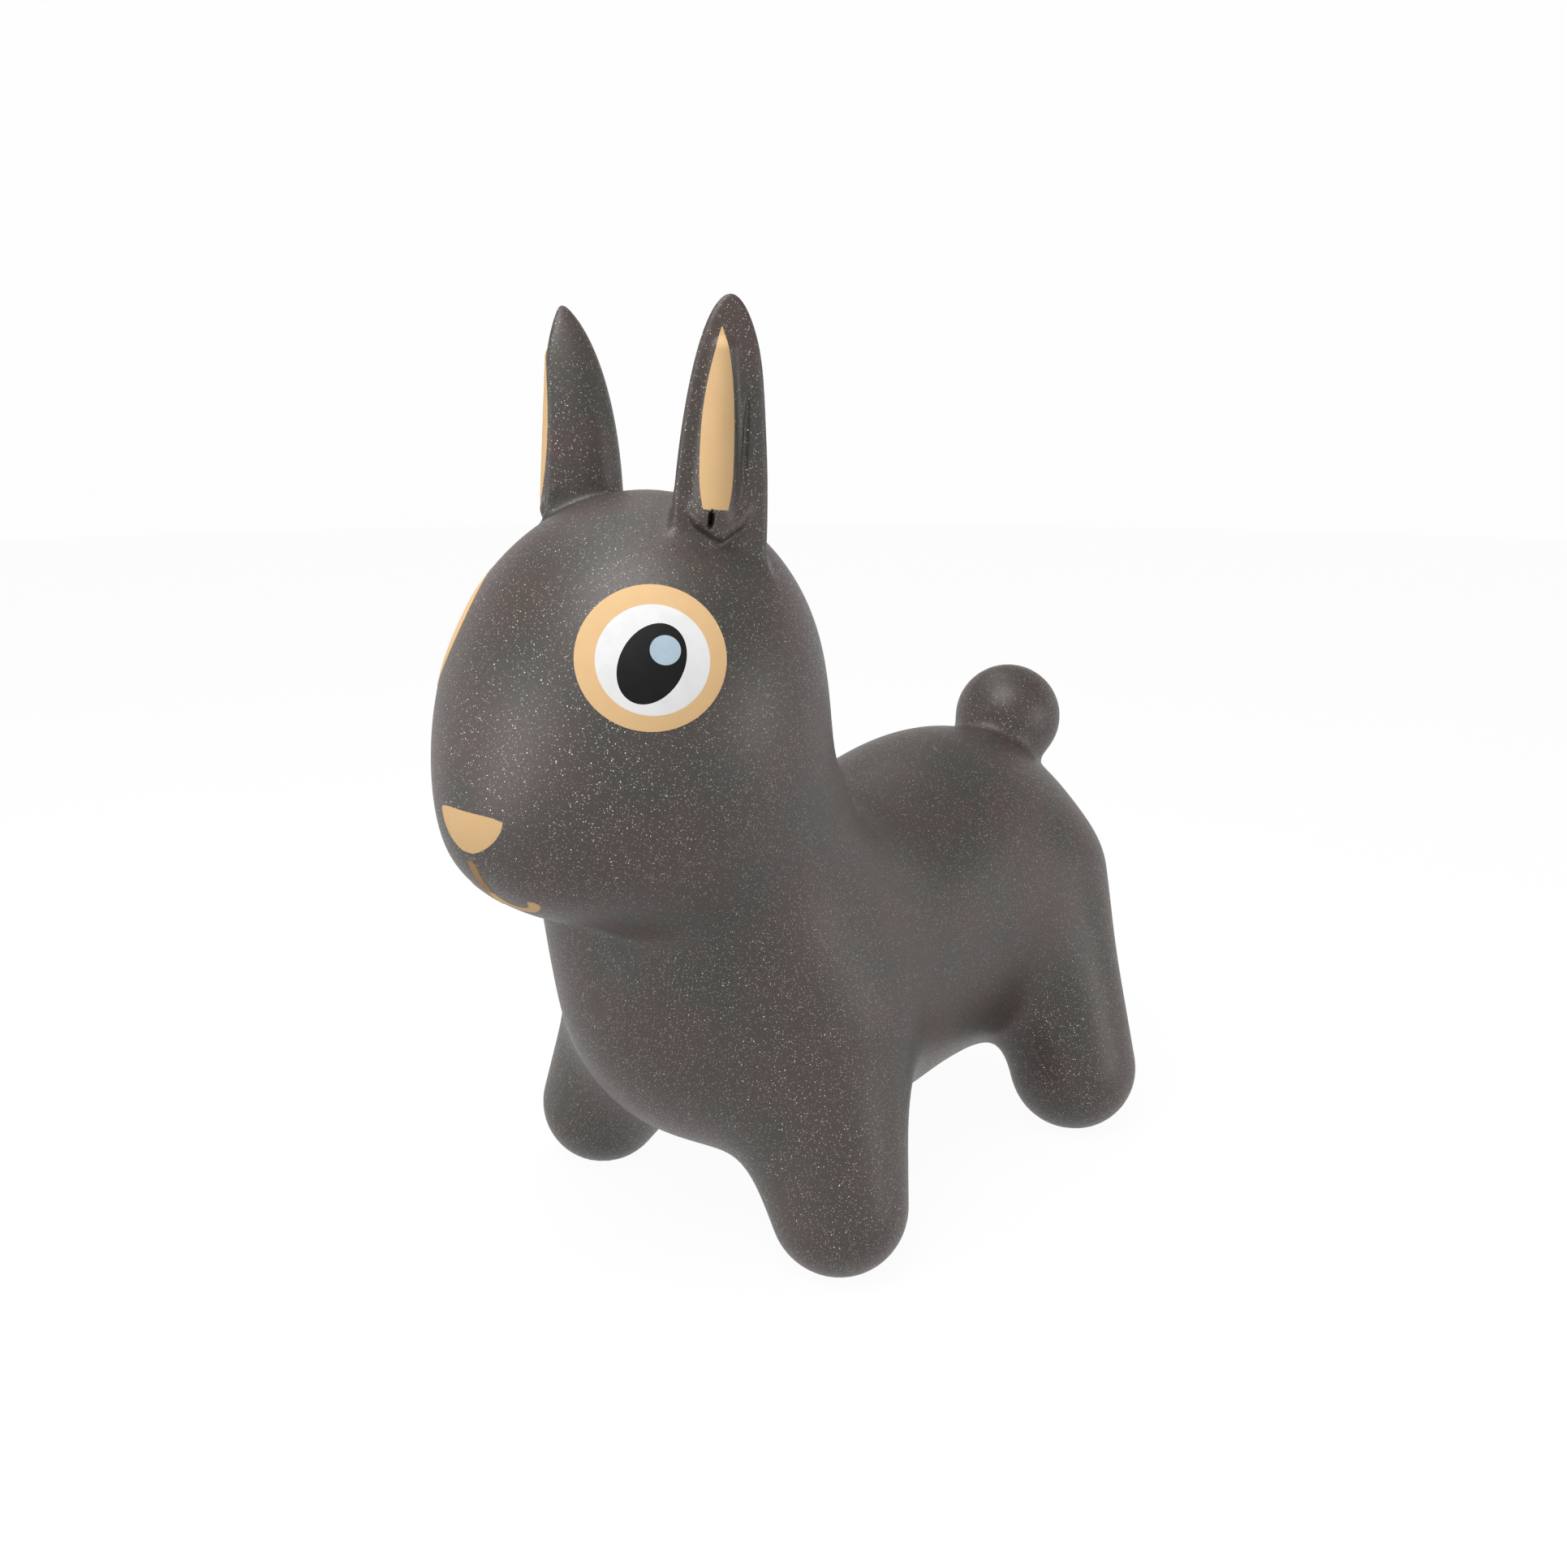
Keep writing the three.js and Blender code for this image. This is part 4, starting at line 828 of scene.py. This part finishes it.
def turned(name, profile):
    """Carries a closed profile of radius and height round the valve's axis."""
    turn = np.linspace(0, 2 * np.pi, VALVE_SIDES, endpoint=False)
    r, z = profile[:, 0][:, None], profile[:, 1][:, None]
    grid = np.stack(
        [r * np.cos(turn), VALVE_Y + r * np.sin(turn), collar_foot + z * np.ones(VALVE_SIDES)], -1)
    faces = grid_faces(len(grid) + 1, VALVE_SIDES, True) % (len(grid) * VALVE_SIDES)
    return add_mesh(name, grid.reshape(-1, 3), faces, SKIN)


collar = turned("valve_ring", rounded(COLLAR, CORNER))
plug = turned("valve_stopper", rounded(PLUG, CORNER))
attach(collar, "hopper")
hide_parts("valve_collar")
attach(plug, "plug")
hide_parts("valve_plug")

# %% [markdown]
# ## Floor and backdrop
# The toy stands in a plain white studio: a floor, and a round wall that closes the view. Lamps strong enough to whiten
# both would bleach the prints, so camera, glossy and transmission rays see them glow white, and other rays find a
# plain pale surface that takes the toy's shadow and throws a little light back up.

# %% Floor, backdrop and world
# Rolled matt paint gives the eye an even pale ground, with no glare and no edge.
STUDIO_GLOW, FLOOR_SHARE, WALL_SHARE = 1.08, 0.88, 0.9
STUDIO_PAINT, PAINT_ROUGHNESS = "#B8B8B8", 0.9
FLOOR, WALL_RADIUS, WALL_HEIGHT, WALL_SIDES = 6000, 5500, 2400, 64
WORLD_LIGHT = 0.43


def studio_white(name, share):
    """Pale matt paint, mixed by a share with a white glow where a camera, glossy or transmission ray sees it."""
    material, tree, shader = start_material(name)
    material.cycles.emission_sampling = "NONE"
    shader.inputs["Base Color"].default_value = linear(STUDIO_PAINT)
    shader.inputs["Roughness"].default_value = PAINT_ROUGHNESS
    path = add_node(tree, "LightPath")
    seen = path.outputs["Is Camera Ray"]
    for ray in ("Is Glossy Ray", "Is Transmission Ray"):
        seen = add_node(tree, "Math", {"operation": "MAXIMUM"}, _0=seen, _1=path.outputs[ray]).outputs[0]
    part = add_node(tree, "Math", {"operation": "MULTIPLY"}, _0=seen, _1=share)
    glow = add_node(tree, "Emission", Strength=STUDIO_GLOW)
    mixed = add_node(tree, "MixShader", _0=part.outputs[0], _1=shader.outputs[0], _2=glow.outputs[0])
    tree.links.new(mixed.outputs[0], tree.nodes["Material Output"].inputs["Surface"])
    return material


corners = FLOOR * np.array([(-1, -1, 0), (1, -1, 0), (1, 1, 0), (-1, 1, 0)])
floor = add_mesh("floor", corners, [(0, 1, 2, 3)], studio_white("studio_floor", FLOOR_SHARE))
turn = np.linspace(0, 2 * np.pi, WALL_SIDES, endpoint=False)
ring = np.stack([WALL_RADIUS * np.cos(turn), WALL_RADIUS * np.sin(turn), np.zeros(WALL_SIDES)], -1)
wall = np.concatenate([ring, ring + [0, 0, WALL_HEIGHT]])
wall_faces = grid_faces(2, WALL_SIDES, True)[:, ::-1]
backdrop = add_mesh("backdrop", wall, wall_faces, studio_white("studio_wall", WALL_SHARE))

world = bpy.data.worlds.new("studio")
world.use_nodes = True
bpy.context.scene.world = world
world.node_tree.nodes["Background"].inputs["Strength"].default_value = WORLD_LIGHT
world.node_tree.nodes["Background"].inputs["Color"].default_value = (1, 1, 1, 1)

# %% [markdown]
# ## Lamps
# Large soft lamps light the toy, as in a product picture: one above the brow, one high over the far side, one low in
# front and one low beside the near hind leg. Small lamps would put hard spots on a satin skin. Their places follow the
# highlights on the brow, the nose and the rump.

# %% Lamps
TARGET = np.array([0, 0, 0.25])
LAMPS = (  # name, degrees round from the front, degrees up, metres away, metres wide, watts
    ("top_box", 15, 62, 1.6, 1.0, 19),
    ("back_box", -112, 64, 1.6, 1.15, 5),
    ("front_box", -16, 12, 1.7, 0.8, 7),
    ("right_box", 110, 5, 1.5, 0.6, 4),
)


def aimed(direction):
    """Euler angles that point an object's -Z along a direction and keep its X level."""
    d = np.array(direction) / np.linalg.norm(direction)
    return (math.acos(-d[2]), 0.0, math.atan2(-d[0], d[1]))


def soft_box(name, azimuth, elevation, distance, size, watts):
    """A square area lamp at an angle round the toy, 0 being straight in front of it, turned to its middle."""
    a, e = math.radians(azimuth), math.radians(elevation)
    way = np.array([math.sin(a) * math.cos(e), -math.cos(a) * math.cos(e), math.sin(e)])
    data = bpy.data.lights.new(name, "AREA")
    data.energy, data.size = watts, size
    lamp = bpy.data.objects.new(name, data)
    lamp.location = TARGET + way * distance
    lamp.rotation_euler = aimed(-way)
    bpy.context.scene.collection.objects.link(lamp)
    print(name, "at", np.round(lamp.location, 2).tolist(), "gives", watts, "W")


for lamp in LAMPS:
    soft_box(*lamp)

# %% [markdown]
# ## Camera
# The camera stands where the photograph was taken: its place, aim and lens were fitted to the toy's outline. The lens
# is the fitted focal length in pixels, over the picture's longer side, times the sensor's width.

# %% Camera
SENSOR_MM, FOCAL_PIXELS, PICTURE_PIXELS = 36, 1862, 1932
CAMERA_PLACE, CAMERA_AIM = (0.58387, -0.66405, 0.46161), (-0.6533, 0.718, -0.2402)

data = bpy.data.cameras.new("photo_camera")
data.sensor_width = SENSOR_MM
data.lens = SENSOR_MM * FOCAL_PIXELS / PICTURE_PIXELS
camera = bpy.data.objects.new("photo_camera", data)
camera.location = CAMERA_PLACE
camera.rotation_euler = aimed(CAMERA_AIM)
bpy.context.scene.collection.objects.link(camera)
bpy.context.scene.camera = camera
bpy.context.scene.view_settings.view_transform = "Standard"
print("lens", round(data.lens, 2), "mm")
